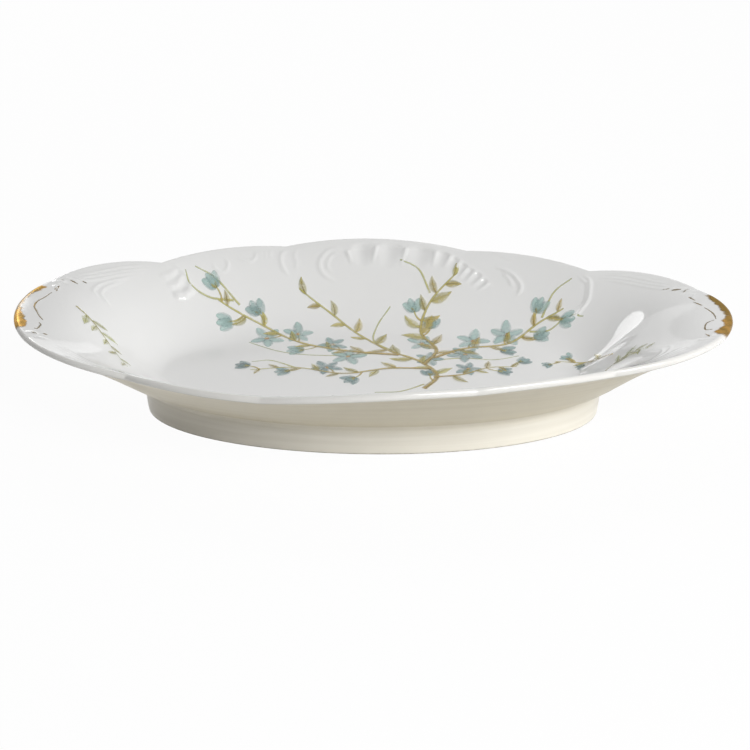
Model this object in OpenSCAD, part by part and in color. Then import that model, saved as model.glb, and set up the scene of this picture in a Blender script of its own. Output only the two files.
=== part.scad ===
// Oval relish dish with a lobed rim, a luted foot ring and gilded tip lobes.
// Millimetres. The origin is the middle of the standing edge's plane: X along the length, Z up.

/* [Overall] */
// Length over the two tip lobes
dish_length = 219; // [200:1:240]
// Width over the two central lobes
dish_width = 125; // [116:1:136]
// Height of the rim's top at the inner and outer notches
notch_height = 31; // [27:0.2:36]
// Height of the rim's top at the tip notches
tip_notch_height = 33; // [28:0.2:38]

/* [Rim lobes] */
// Distance of each inner notch from the middle, along the length
inner_notch_x = 30.4; // [26:0.2:36]
// Distance of each outer notch from the end of the dish, along the length
outer_notch_setback = 39.2; // [35:0.2:44]
// Distance of each outer notch from the side of the dish, across the width
outer_notch_inset = 21.8; // [17:0.2:25]
// Distance of each tip notch from the middle line, across the width
tip_notch_y = 20.6; // [17:0.2:24]
// How far a central lobe swells past its notches
central_bulge = 5.6; // [3:0.2:8]
// How far a side lobe swells past the line between its notches
side_bulge = 2.8; // [1.6:0.2:6]
// How far a long lobe swells past the line between its notches
long_bulge = 4.2; // [1.6:0.2:6]
// How far a tip lobe swells past its notches
tip_bulge = 6.8; // [4:0.2:9]
// Rise of a central lobe's edge above its notches
central_rise = 1.4; // [0:0.1:3]
// Rise of a side lobe's edge above its notches
side_rise = 0.9; // [0:0.1:3]
// Rise of a long lobe's edge above its notches
long_rise = 1; // [0:0.1:3]
// Rise of a tip lobe's edge above its notches
tip_rise = 0.5; // [0:0.1:2]

/* [Firing warp] */
// Height that the firing lifted or sank each outer notch, the rim's slight twist
firing_twist = 0.9; // [0:0.1:2.5]
// Height that the firing lifted the near side of the rim
firing_lift = 3.1; // [0:0.1:5]
// Place of the highest lift, along the length
lift_x = 24; // [10:1:40]
// How far the lift reaches to either side of its highest place
lift_reach = 77; // [50:1:100]

/* [Wall] */
// Thickness of the floor
floor_t = 3.2; // [2.4:0.1:5]
// Thickness of the round lip
lip_t = 2.4; // [1.6:0.1:3.4]
// Length of the flat floor
well_length = 128; // [110:1:132]
// Width of the flat floor
well_width = 52; // [44:1:56]
// Slope of the wall at the lip along the sides, against its mean slope
lip_flare = 0.6; // [0.4:0.05:1]
// Slope of the underside beside the foot, against the wall's mean slope
foot_flare = 0.65; // [0.4:0.05:1]
// Slope of the underside at the foot's two ends, against the wall's mean slope
end_flare = 0.4; // [0:0.05:0.65]
// How far the wall turns level under the tip lobes
tip_level = 1; // [0:0.1:1]

/* [Foot] */
// Outside length of the foot ring where it meets the body
foot_length = 141.6; // [136:0.2:148]
// Outside width of the foot ring where it meets the body
foot_width = 64.6; // [60:0.2:70]
// Height of the foot ring
foot_height = 9.4; // [7:0.2:13]
// Thickness of the foot ring at its top
foot_wall = 4.6; // [3.6:0.1:6]
// How far the foot's outside leans in towards the standing edge
foot_batter = 0.7; // [0.2:0.1:1.5]
// Width of the ground standing edge
standing_edge = 2; // [1.2:0.1:2.6]
// Round of the foot's lower corners
edge_round = 0.6; // [0.3:0.1:0.8]

/* [Slip joint] */
// Leg of the slip fillet outside the foot
outer_slip = 2; // [0.8:0.1:3]
// Leg of the slip fillet inside the foot
inner_slip = 2; // [1:0.1:3]

/* [Gilding] */
// Width of the gold band on a tip lobe, in from the lip
gilt_width = 4.4; // [3:0.2:6]
// Thickness of the gold film
gilt_t = 0.15; // [0.1:0.05:0.3]

/* [Hidden] */

// Steps along each kind of lobe, which set the facets round the rim
tip_steps = 10;
long_steps = 11;
side_steps = 11;
central_steps = 15;
// Rings up the inside, round the lip and down the underside
inside_rings = 9;
lip_rings = 4;
underside_rings = 8;
// How fast the lobes fade from the rim towards the foot
lobe_fade = 5;
// How fast the rim's height falls from the tips towards the sides
end_rise = 4;
// How fast the level ends fade towards the sides, inside and on the underside
inside_end_fade = 8;
underside_end_fade = 16;
// Points along the hollow of a slip fillet
fillet_points = 3;

half_length = dish_length / 2;
half_width = dish_width / 2;
lip_r = lip_t / 2;
floor_z = foot_height + floor_t;

// The lobes swell and shrink about a mean oval, half a bulge inside their peaks
mean_a = half_length - tip_bulge / 2 - lip_r;
mean_b = half_width - central_bulge / 2 - lip_r;
well_a = well_length / 2;
well_b = well_width / 2;
foot_a = foot_length / 2;
foot_b = foot_width / 2;

tip_notch = [half_length - tip_bulge, tip_notch_y, tip_notch_height];
outer_notch = [half_length - outer_notch_setback, half_width - outer_notch_inset, notch_height];
inner_notch = [inner_notch_x, half_width - central_bulge, notch_height];
twist_per_area = firing_twist / (outer_notch[0] * outer_notch[1]);

function corner(notch, sx, sy) = [sx * notch[0], sy * notch[1], notch[2]];
function flat(p) = [p[0], p[1]];
function unit(v) = v / norm(v);

// The rim's rise by firing: a twist of its corners, and a lift of its near side
function warp(x, y) =
    let (near = max(0, -y / half_width), along = max(0, 1 - pow((x - lift_x) / lift_reach, 2)))
    firing_lift * near * along * along - twist_per_area * x * y;

// A lobe is [start, end, bulge, rise, steps]. The lobes run counter-clockwise from the right tip round the
// far side, and half a turn repeats them on the near side
FAR_LOBES = [
    [corner(tip_notch, 1, -1), corner(tip_notch, 1, 1), tip_bulge, tip_rise, tip_steps],
    [corner(tip_notch, 1, 1), corner(outer_notch, 1, 1), long_bulge, long_rise, long_steps],
    [corner(outer_notch, 1, 1), corner(inner_notch, 1, 1), side_bulge, side_rise, side_steps],
    [corner(inner_notch, 1, 1), corner(inner_notch, -1, 1), central_bulge, central_rise, central_steps],
    [corner(inner_notch, -1, 1), corner(outer_notch, -1, 1), side_bulge, side_rise, side_steps],
    [corner(outer_notch, -1, 1), corner(tip_notch, -1, 1), long_bulge, long_rise, long_steps],
];
function half_turn(lobe) = [corner(lobe[0], -1, -1), corner(lobe[1], -1, -1), lobe[2], lobe[3], lobe[4]];
LOBES = concat(FAR_LOBES, [for (lobe = FAR_LOBES) half_turn(lobe)]);

// A point on a lobe's edge: a round arc over the chord between its notches, lifted by its rise
function lobe_point(lobe, t) =
    let (
        chord = flat(lobe[1]) - flat(lobe[0]),
        along = unit(chord),
        outward = [along[1], -along[0]],
        span = norm(chord),
        bulge = lobe[2],
        radius = (span * span / 4 + bulge * bulge) / (2 * bulge),
        turn = (2 * t - 1) * asin(span / 2 / radius),
        swell = radius * cos(turn) - radius + bulge,
        place = (flat(lobe[0]) + flat(lobe[1])) / 2 + along * radius * sin(turn) + outward * swell,
        height = lobe[0][2] + (lobe[1][2] - lobe[0][2]) * t + lobe[3] * swell / bulge
    )
    [place[0], place[1], height + warp(place[0], place[1])];

// The stations round the dish: the rim's outermost top points, and the oval angle of each
RIM = [for (lobe = LOBES) for (i = [0 : lobe[4] - 1]) lobe_point(lobe, i / lobe[4])];
ANGLE = [for (p = RIM) atan2(p[1] / half_width, p[0] / half_length)];
STATIONS = len(RIM);

function oval_point(a, b, angle) = [a * cos(angle), b * sin(angle)];
function oval_ring(a, b, z) = [for (angle = ANGLE) concat(oval_point(a, b, angle), [z])];

// The middle line of the round lip
LIP = [
    for (i = [0 : STATIONS - 1])
        let (
            out = unit(flat(RIM[i]) - oval_point(foot_a, foot_b, ANGLE[i])),
            place = flat(RIM[i]) - lip_r * out
        )
        [place[0], place[1], RIM[i][2] - lip_r]
];
LIP_OUT = [for (i = [0 : STATIONS - 1]) unit(flat(RIM[i]) - flat(LIP[i]))];

// The lip's mean height, without the lobes' own rises
MEAN_Z = [
    for (angle = ANGLE)
        let (outline = oval_point(half_length, half_width, angle))
        notch_height + (tip_notch_height - notch_height) * pow(cos(angle), end_rise)
            + warp(outline[0], outline[1]) - lip_r
];

// A wall point runs from an oval to the lip, and takes on the lobes and their rises near the lip
function wall_place(i, a, b, s) =
    let (start = oval_point(a, b, ANGLE[i]), mean = oval_point(mean_a, mean_b, ANGLE[i]))
    start + (mean - start) * s + (flat(LIP[i]) - mean) * pow(s, lobe_fade);

// Height share of a wall with the given slopes at its start and its end
function climb(s, first, last) = first * s + (3 - 2 * first - last) * s * s + (first + last - 2) * s * s * s;

// Height share of a wall that climbs early from the given slope and ends level
function settle(s, first) = 1 - pow(1 - s, 3) * (1 + (3 - first) * s);
// The wall at a station, which turns level under the tip lobes
function wall_climb(i, s, side_first, end_first, fade) =
    let (end = tip_level * pow(abs(cos(ANGLE[i])), fade))
    climb(s, side_first, lip_flare) * (1 - end) + settle(s, end_first) * end;

function lobe_rise(i, s) = (LIP[i][2] - MEAN_Z[i]) * pow(s, lobe_fade);

function inside_ring(s) = [
    for (i = [0 : STATIONS - 1])
        let (share = wall_climb(i, s, 0, 0, inside_end_fade))
        concat(
            wall_place(i, well_a, well_b, s),
            [floor_z + (MEAN_Z[i] + lip_r - floor_z) * share + lobe_rise(i, s)]
        )
];
function underside_ring(s) = [
    for (i = [0 : STATIONS - 1])
        let (share = wall_climb(i, s, foot_flare, end_flare, underside_end_fade))
        concat(
            wall_place(i, foot_a, foot_b, s),
            [foot_height + (MEAN_Z[i] - lip_r - foot_height) * share + lobe_rise(i, s)]
        )
];
function lip_ring(turn) = [
    for (i = [0 : STATIONS - 1])
        let (place = flat(LIP[i]) + lip_r * cos(turn) * LIP_OUT[i])
        [place[0], place[1], LIP[i][2] + lip_r * sin(turn)]
];

// Where the gold band and the outer fillet end, as shares of the wall's run
gilt_share = 1 - gilt_width / (mean_a - well_a);
slip_share = outer_slip / (mean_b - foot_b);

// The body's rings, from the floor's middle over the lip to the foot
INSIDE = concat(
    [oval_ring(well_a / 2, well_b / 2, floor_z), oval_ring(well_a, well_b, floor_z)],
    [for (k = [1 : inside_rings]) inside_ring(gilt_share * k / inside_rings)],
    [inside_ring((1 + gilt_share) / 2)]
);
EDGE = [for (k = [0 : lip_rings]) lip_ring(90 - 180 * k / lip_rings)];
UNDERSIDE = concat(
    [
        for (k = [underside_rings - 1 : -1 : 1])
            underside_ring(slip_share + (1 - slip_share) * k / underside_rings)
    ],
    [underside_ring(slip_share), underside_ring(0)]
);
BODY = concat(INSIDE, EDGE, UNDERSIDE);

function points_of(rings) = [for (ring = rings) for (p = ring) p];

// The two triangles between station i of ring r and its neighbours, split either way
function cell(r, next, i, count, other_split) =
    let (
        j = (i + 1) % count,
        a = r * count + i,
        b = r * count + j,
        c = next * count + j,
        d = next * count + i
    )
    other_split ? [[a, b, d], [b, c, d]] : [[a, b, c], [a, c, d]];

function band_faces(rings, count, closed, other_split = false) = [
    for (r = [0 : closed ? rings - 1 : rings - 2])
        for (i = [0 : count - 1])
            each cell(r, (r + 1) % rings, i, count, other_split)
];

// A closed ring of constant make, swept round all stations
module swept_ring(rings, other_split = false) {
    polyhedron(points_of(rings), band_faces(len(rings), STATIONS, true, other_split));
}

module dish_body() {
    last = len(BODY) - 1;
    middle = len(BODY) * STATIONS;
    caps = [
        for (i = [0 : STATIONS - 1])
            let (j = (i + 1) % STATIONS)
            each [[middle, j, i], [middle + 1, last * STATIONS + i, last * STATIONS + j]]
    ];
    color("whitesmoke")
        polyhedron(
            concat(points_of(BODY), [[0, 0, floor_z], [0, 0, foot_height]]),
            concat(band_faces(len(BODY), STATIONS, false), caps)
        );
}

// The foot's outside at a height, leaning in by the batter
function foot_inset(z) = foot_batter * (1 - z / foot_height);
function foot_outside(z) = oval_ring(foot_a - foot_inset(z), foot_b - foot_inset(z), z);
// The foot's inside leans the other way, from the standing edge's inner side to the wall's full thickness
inner_edge = foot_batter + standing_edge + 2 * edge_round;
function foot_inside_inset(z) = foot_wall + (inner_edge - foot_wall) * (1 - z / foot_height);
function foot_inside(z) = oval_ring(foot_a - foot_inside_inset(z), foot_b - foot_inside_inset(z), z);
standing_inset = foot_batter + edge_round;

FOOT = [
    foot_outside(foot_height),
    foot_outside(foot_height - outer_slip),
    foot_outside(edge_round),
    oval_ring(foot_a - standing_inset, foot_b - standing_inset, 0),
    oval_ring(foot_a - standing_inset - standing_edge, foot_b - standing_inset - standing_edge, 0),
    foot_inside(edge_round),
    foot_inside(foot_height - inner_slip),
    foot_inside(foot_height),
];

module foot_ring() {
    color("ivory") swept_ring(FOOT);
}

// A hollow fillet between two rings, drawn in towards the corner ring
function hollow(from, to, corner_ring) = [
    for (k = [1 : fillet_points])
        let (t = k / (fillet_points + 1))
        [
            for (i = [0 : STATIONS - 1])
                (from[i] * (1 - t) + to[i] * t) * (1 - 2 * t * (1 - t)) + corner_ring[i] * 2 * t * (1 - t)
        ]
];

module outer_slip_fillet() {
    corner_ring = foot_outside(foot_height);
    low = foot_outside(foot_height - outer_slip);
    high = underside_ring(slip_share);
    color("oldlace") swept_ring(concat([corner_ring, high], hollow(high, low, corner_ring), [low]), true);
}

module inner_slip_fillet() {
    ceiling_inset = foot_wall + inner_slip;
    corner_ring = foot_inside(foot_height);
    low = foot_inside(foot_height - inner_slip);
    high = oval_ring(foot_a - ceiling_inset, foot_b - ceiling_inset, foot_height);
    color("oldlace") swept_ring(concat([corner_ring, low], hollow(low, high, corner_ring), [high]), true);
}

// The gold film lies on the body's own facets, from the band's inner ring over the lip
GILT_RINGS = [for (r = [len(INSIDE) - 2 : len(INSIDE) + lip_rings]) r];

function facing(r, i) =
    let (
        before = BODY[r - 1][i],
        after = BODY[r + 1][i],
        left = BODY[r][(i + STATIONS - 1) % STATIONS],
        right = BODY[r][(i + 1) % STATIONS]
    )
    unit(cross(after - before, right - left));

module gilt_tip(first) {
    across = tip_steps + 1;
    down = len(GILT_RINGS);
    place = [for (k = [0 : tip_steps]) (first + k) % STATIONS];
    under = [for (r = GILT_RINGS) for (i = place) BODY[r][i]];
    over = [for (r = GILT_RINGS) for (i = place) BODY[r][i] + gilt_t * facing(r, i)];
    skin = across * down;
    inner = [
        for (r = [0 : down - 2])
            for (k = [0 : across - 2])
                let (a = r * across + k, b = a + 1, d = a + across, c = d + 1)
                each [[a, c, b], [a, d, c]]
    ];
    outer = [for (f = inner) [f[0] + skin, f[2] + skin, f[1] + skin]];
    border = concat(
        [for (k = [0 : across - 1]) k],
        [for (r = [1 : down - 1]) r * across + across - 1],
        [for (k = [across - 2 : -1 : 0]) (down - 1) * across + k],
        [for (r = [down - 2 : -1 : 1]) r * across]
    );
    sides = [
        for (k = [0 : len(border) - 1])
            let (a = border[k], b = border[(k + 1) % len(border)])
            each [[a, b, a + skin], [b, b + skin, a + skin]]
    ];
    color("goldenrod") polyhedron(concat(under, over), concat(inner, outer, sides));
}

module gilt_tip_right() {
    gilt_tip(0);
}

module gilt_tip_left() {
    gilt_tip(STATIONS / 2);
}

dish_body();
foot_ring();
outer_slip_fillet();
inner_slip_fillet();
gilt_tip_right();
gilt_tip_left();
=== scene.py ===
import math

import bpy
import numpy as np
from bpy.props import FloatProperty, FloatVectorProperty, PointerProperty
from mathutils import Matrix, Vector
from mathutils.bvhtree import BVHTree


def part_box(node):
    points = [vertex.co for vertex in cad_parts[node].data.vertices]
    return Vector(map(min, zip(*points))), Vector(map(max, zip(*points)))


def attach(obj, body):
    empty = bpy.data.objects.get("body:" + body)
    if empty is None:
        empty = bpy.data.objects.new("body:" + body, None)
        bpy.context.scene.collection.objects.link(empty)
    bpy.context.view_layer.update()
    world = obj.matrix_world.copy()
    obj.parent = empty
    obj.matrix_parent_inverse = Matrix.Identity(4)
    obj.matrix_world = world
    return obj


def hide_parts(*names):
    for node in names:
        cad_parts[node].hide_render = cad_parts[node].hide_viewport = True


bl_info = {
    "name": "Relish Dish",
    "version": (1, 0, 0),
    "blender": (4, 5, 0),
    "location": "View3D > Sidebar > Relish Dish",
    "description": "Builds a lobed porcelain relish dish with moulded relief, printed sprays and gilded tips",
    "category": "Add Mesh",
}

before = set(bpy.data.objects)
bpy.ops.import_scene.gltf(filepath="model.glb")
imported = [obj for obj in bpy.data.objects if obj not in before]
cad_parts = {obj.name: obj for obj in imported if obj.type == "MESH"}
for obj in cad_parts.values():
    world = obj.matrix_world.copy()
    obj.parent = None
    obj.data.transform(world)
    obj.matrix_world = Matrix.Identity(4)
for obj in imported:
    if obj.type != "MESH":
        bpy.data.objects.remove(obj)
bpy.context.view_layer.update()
BODY_LOW, BODY_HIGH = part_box("dish_body")
FOOT_LOW, FOOT_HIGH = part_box("foot_ring")

MM = 0.001
LOBES = 12
HALF_TURN = LOBES / 2


# Settings that a user would change

def length(label, words, default):
    """A length in metres."""
    return FloatProperty(name=label, description=words, default=default, min=0.0, unit="LENGTH", precision=5)


def share(label, words, default):
    """A plain number from 0 to 1."""
    return FloatProperty(name=label, description=words, default=default, min=0.0, max=1.0, subtype="FACTOR")


def strength(label, words, default):
    """A plain number from 0 up."""
    return FloatProperty(name=label, description=words, default=default, min=0.0)


def colour(label, words, default):
    """A linear colour."""
    return FloatVectorProperty(
        name=label, description=words, default=default, min=0.0, max=1.0, size=3, subtype="COLOR"
    )


def angle(label, words, degrees):
    """An angle, given in degrees."""
    return FloatProperty(name=label, description=words, default=math.radians(degrees), subtype="ANGLE")


class DishSizes(bpy.types.PropertyGroup):
    """Sizes of the porcelain, the same as the solids in the frame."""

    length: length("Length", "Length over the tip lobes", BODY_HIGH.x - BODY_LOW.x)
    width: length("Width", "Width over the central lobes", BODY_HIGH.y - BODY_LOW.y)
    notch_height: length("Notch height", "Height of the rim at the inner and outer notches", 31 * MM)
    tip_notch_height: length("Tip notch height", "Height of the rim at the tip notches", 33 * MM)
    inner_notch_x: length("Inner notch", "Distance of an inner notch from the middle", 30.4 * MM)
    outer_notch_setback: length("Outer notch setback", "Distance of an outer notch from the end", 39.2 * MM)
    outer_notch_inset: length("Outer notch inset", "Distance of an outer notch from the side", 21.8 * MM)
    tip_notch_y: length("Tip notch", "Distance of a tip notch from the middle line", 20.6 * MM)
    central_bulge: length("Central bulge", "Swell of a central lobe past its notches", 5.6 * MM)
    side_bulge: length("Side bulge", "Swell of a side lobe past its notches", 2.8 * MM)
    long_bulge: length("Long bulge", "Swell of a long lobe past its notches", 4.2 * MM)
    tip_bulge: length("Tip bulge", "Swell of a tip lobe past its notches", 6.8 * MM)
    central_rise: length("Central rise", "Rise of a central lobe above its notches", 1.4 * MM)
    side_rise: length("Side rise", "Rise of a side lobe above its notches", 0.9 * MM)
    long_rise: length("Long rise", "Rise of a long lobe above its notches", 1 * MM)
    tip_rise: length("Tip rise", "Rise of a tip lobe above its notches", 0.5 * MM)
    firing_twist: length("Firing twist", "Height that firing lifted or sank an outer notch", 0.9 * MM)
    firing_lift: length("Firing lift", "Height that firing lifted the near side of the rim", 3.1 * MM)
    lift_x: length("Lift place", "Place of the highest lift along the length", 24 * MM)
    lift_reach: length("Lift reach", "How far the lift reaches to either side", 77 * MM)
    floor_t: length("Floor thickness", "Thickness of the floor", 3.2 * MM)
    lip_t: length("Lip thickness", "Thickness of the round lip", 2.4 * MM)
    well_length: length("Well length", "Length of the flat floor", 128 * MM)
    well_width: length("Well width", "Width of the flat floor", 52 * MM)
    lip_flare: share("Lip flare", "Slope of the wall at the lip, against the mean slope", 0.6)
    tip_level: share("Tip level", "How far the wall turns level under the tip lobes", 1.0)
    foot_flare: share("Foot flare", "Slope of the underside beside the foot, against the mean slope", 0.65)
    end_flare: share("End flare", "Slope of the underside at the foot's ends, against the mean slope", 0.4)
    foot_length: length("Foot length", "Outside length of the foot ring", FOOT_HIGH.x - FOOT_LOW.x)
    foot_width: length("Foot width", "Outside width of the foot ring", FOOT_HIGH.y - FOOT_LOW.y)
    foot_height: length("Foot height", "Height of the foot ring", FOOT_HIGH.z)
    foot_wall: length("Foot wall", "Thickness of the foot ring at its top", 4.6 * MM)
    foot_batter: length("Foot batter", "Lean of the foot's outside", 0.7 * MM)
    standing_edge: length("Standing edge", "Width of the ground standing edge", 2 * MM)
    edge_round: length("Edge round", "Round of the foot's lower corners", 0.6 * MM)
    outer_slip: length("Outer slip", "Leg of the slip fillet outside the foot", 2 * MM)
    inner_slip: length("Inner slip", "Leg of the slip fillet inside the foot", 2 * MM)
    gilt_width: length("Gilt width", "Width of the gold on a tip lobe, in from the lip", 4.4 * MM)
    relief: strength("Relief", "Strength of the moulded relief", 1.0)


class FinishColours(bpy.types.PropertyGroup):
    """Linear colours of the glaze, the gold and the printed pigments, with painted shade in the underside's
    glaze and in the bare edge.
    """

    glaze_inside: colour("Inside glaze", "Cool white of the well", (0.80, 0.80, 0.79))
    # The underside's glaze is much darker than the inside's, as painted shade where it faces down away from
    # the lights, with a warm tint
    underside_glaze_painted_shade: colour("Outside glaze", "Warm white of the underside", (0.605, 0.555, 0.425))
    foot_glaze: colour("Foot glaze", "Warm white of the foot ring", (0.83, 0.80, 0.72))
    # The bare clay is darker than real clay, as painted contact shadow where the foot stands on the table
    bare_clay_and_shadow: colour("Bare clay", "Unglazed standing edge", (0.28, 0.24, 0.18))
    cloud: colour("Cloud", "Faint clouding of the glaze", (0.70, 0.69, 0.66))
    streak: colour("Streak", "Faint streaks of the underside", (0.44, 0.38, 0.27))
    foot_cloud: colour("Foot cloud", "Faint clouding of the foot's glaze", (0.74, 0.71, 0.62))
    foot_streak: colour("Foot streak", "Faint streaks of the foot's glaze", (0.56, 0.52, 0.43))
    grit: colour("Grit", "Pale grit of the standing edge", (0.52, 0.48, 0.40))
    speck: colour("Speck", "Iron specks in the glaze", (0.20, 0.15, 0.10))
    gold: colour("Gold", "Bright fired gold", (0.56, 0.33, 0.11))
    gold_worn: colour("Worn gold", "Thin, browned gold", (0.21, 0.145, 0.05))
    gold_edge: colour("Gold edge", "Gold seen at a flat angle", (0.82, 0.66, 0.46))
    hairline: colour("Hairline", "Dark gold of the fine lines", (0.20, 0.18, 0.12))
    teal: colour("Teal", "Light blue-green of the blossoms", (0.44, 0.61, 0.57))
    teal_dark: colour("Dark teal", "Shaded blue-grey of the blossoms", (0.19, 0.28, 0.28))
    olive: colour("Olive", "Yellow-green of the leaves", (0.62, 0.58, 0.18))
    olive_pale: colour("Pale olive", "Faint green of the tendrils", (0.62, 0.66, 0.34))
    ochre: colour("Ochre", "Golden brown of the stems", (0.62, 0.45, 0.12))
    sienna: colour("Sienna", "Red-brown of the finest lines", (0.38, 0.17, 0.08))


class StudioSettings(bpy.types.PropertyGroup):
    """The camera's place and the light."""

    camera_elevation: angle("Camera elevation", "Angle of the view above the table", 25.42)
    camera_turn: angle("Camera turn", "Angle of the view to the right of square on", 1.28)
    camera_distance: length("Camera distance", "From the lens to the middle of the dish", 575.5 * MM)
    camera_target: length("Camera target", "Height of the point that the distance is measured to", 15 * MM)
    lens: strength("Lens", "Focal length in millimetres", 89.12)
    floor_colour: colour("Floor", "Pale table top", (0.90, 0.90, 0.90))
    sky_strength: strength("Sky", "Strength of the even white light", 0.01)
    key_power: strength("Key light", "Watts of the softbox at the right front", 8.25)
    right_power: strength("Right light", "Watts of the low softbox at the right", 1.35)
    left_power: strength("Left light", "Watts of the low softbox at the left", 1.2)
    back_power: strength("Back light", "Watts of the low softbox behind", 0.5)
    sheen_power: strength("Sheen light", "Watts of the dim wall behind, mirrored in the right wall", 0.6)
    top_power: strength("Top light", "Watts of the high softbox behind", 2.3)
    strip_power: strength("Strip light", "Watts of the softbox mirrored in the right wall", 0.65)


class RelishDishSettings(bpy.types.PropertyGroup):
    """Everything that the operators read."""

    sizes: PointerProperty(type=DishSizes)
    colours: PointerProperty(type=FinishColours)
    studio: PointerProperty(type=StudioSettings)


# Curves and surfaces of the dish

def smooth_path(points, per_span=8):
    """A smooth curve through the points, each of any number of coordinates."""
    p = np.asarray(points, float)
    if len(p) < 3:
        t = np.linspace(0, 1, per_span + 1)[:, None]
        return p[0] + (p[-1] - p[0]) * t
    ends = np.vstack([2 * p[0] - p[1], p, 2 * p[-1] - p[-2]])
    t = np.linspace(0, 1, per_span, endpoint=False)[:, None]
    spans = []
    for a, b, c, d in zip(ends[:-3], ends[1:-2], ends[2:-1], ends[3:]):
        square = (2 * a - 5 * b + 4 * c - d) * t**2
        cube = (3 * b - a - 3 * c + d) * t**3
        spans.append(0.5 * (2 * b + (c - a) * t + square + cube))
    return np.vstack(spans + [p[-1:]])


def unit(vectors):
    """Vectors of length 1, along the last axis."""
    return vectors / np.maximum(np.linalg.norm(vectors, axis=-1, keepdims=True), 1e-12)


def climb(s, first, last):
    """Height share of a wall with the given slopes at its start and its end."""
    return first * s + (3 - 2 * first - last) * s**2 + (first + last - 2) * s**3


def settle(s, first):
    """Height share of a wall that climbs early from the given slope and ends level."""
    return 1 - (1 - s) ** 3 * (1 + (3 - first) * s)


def oval(a, b, angle):
    """Points of an oval, one for each angle."""
    return np.column_stack([a * np.cos(angle), b * np.sin(angle)])


def level(places, z):
    """Plan points at one height."""
    return np.column_stack([places, np.full(len(places), z)])


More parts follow.
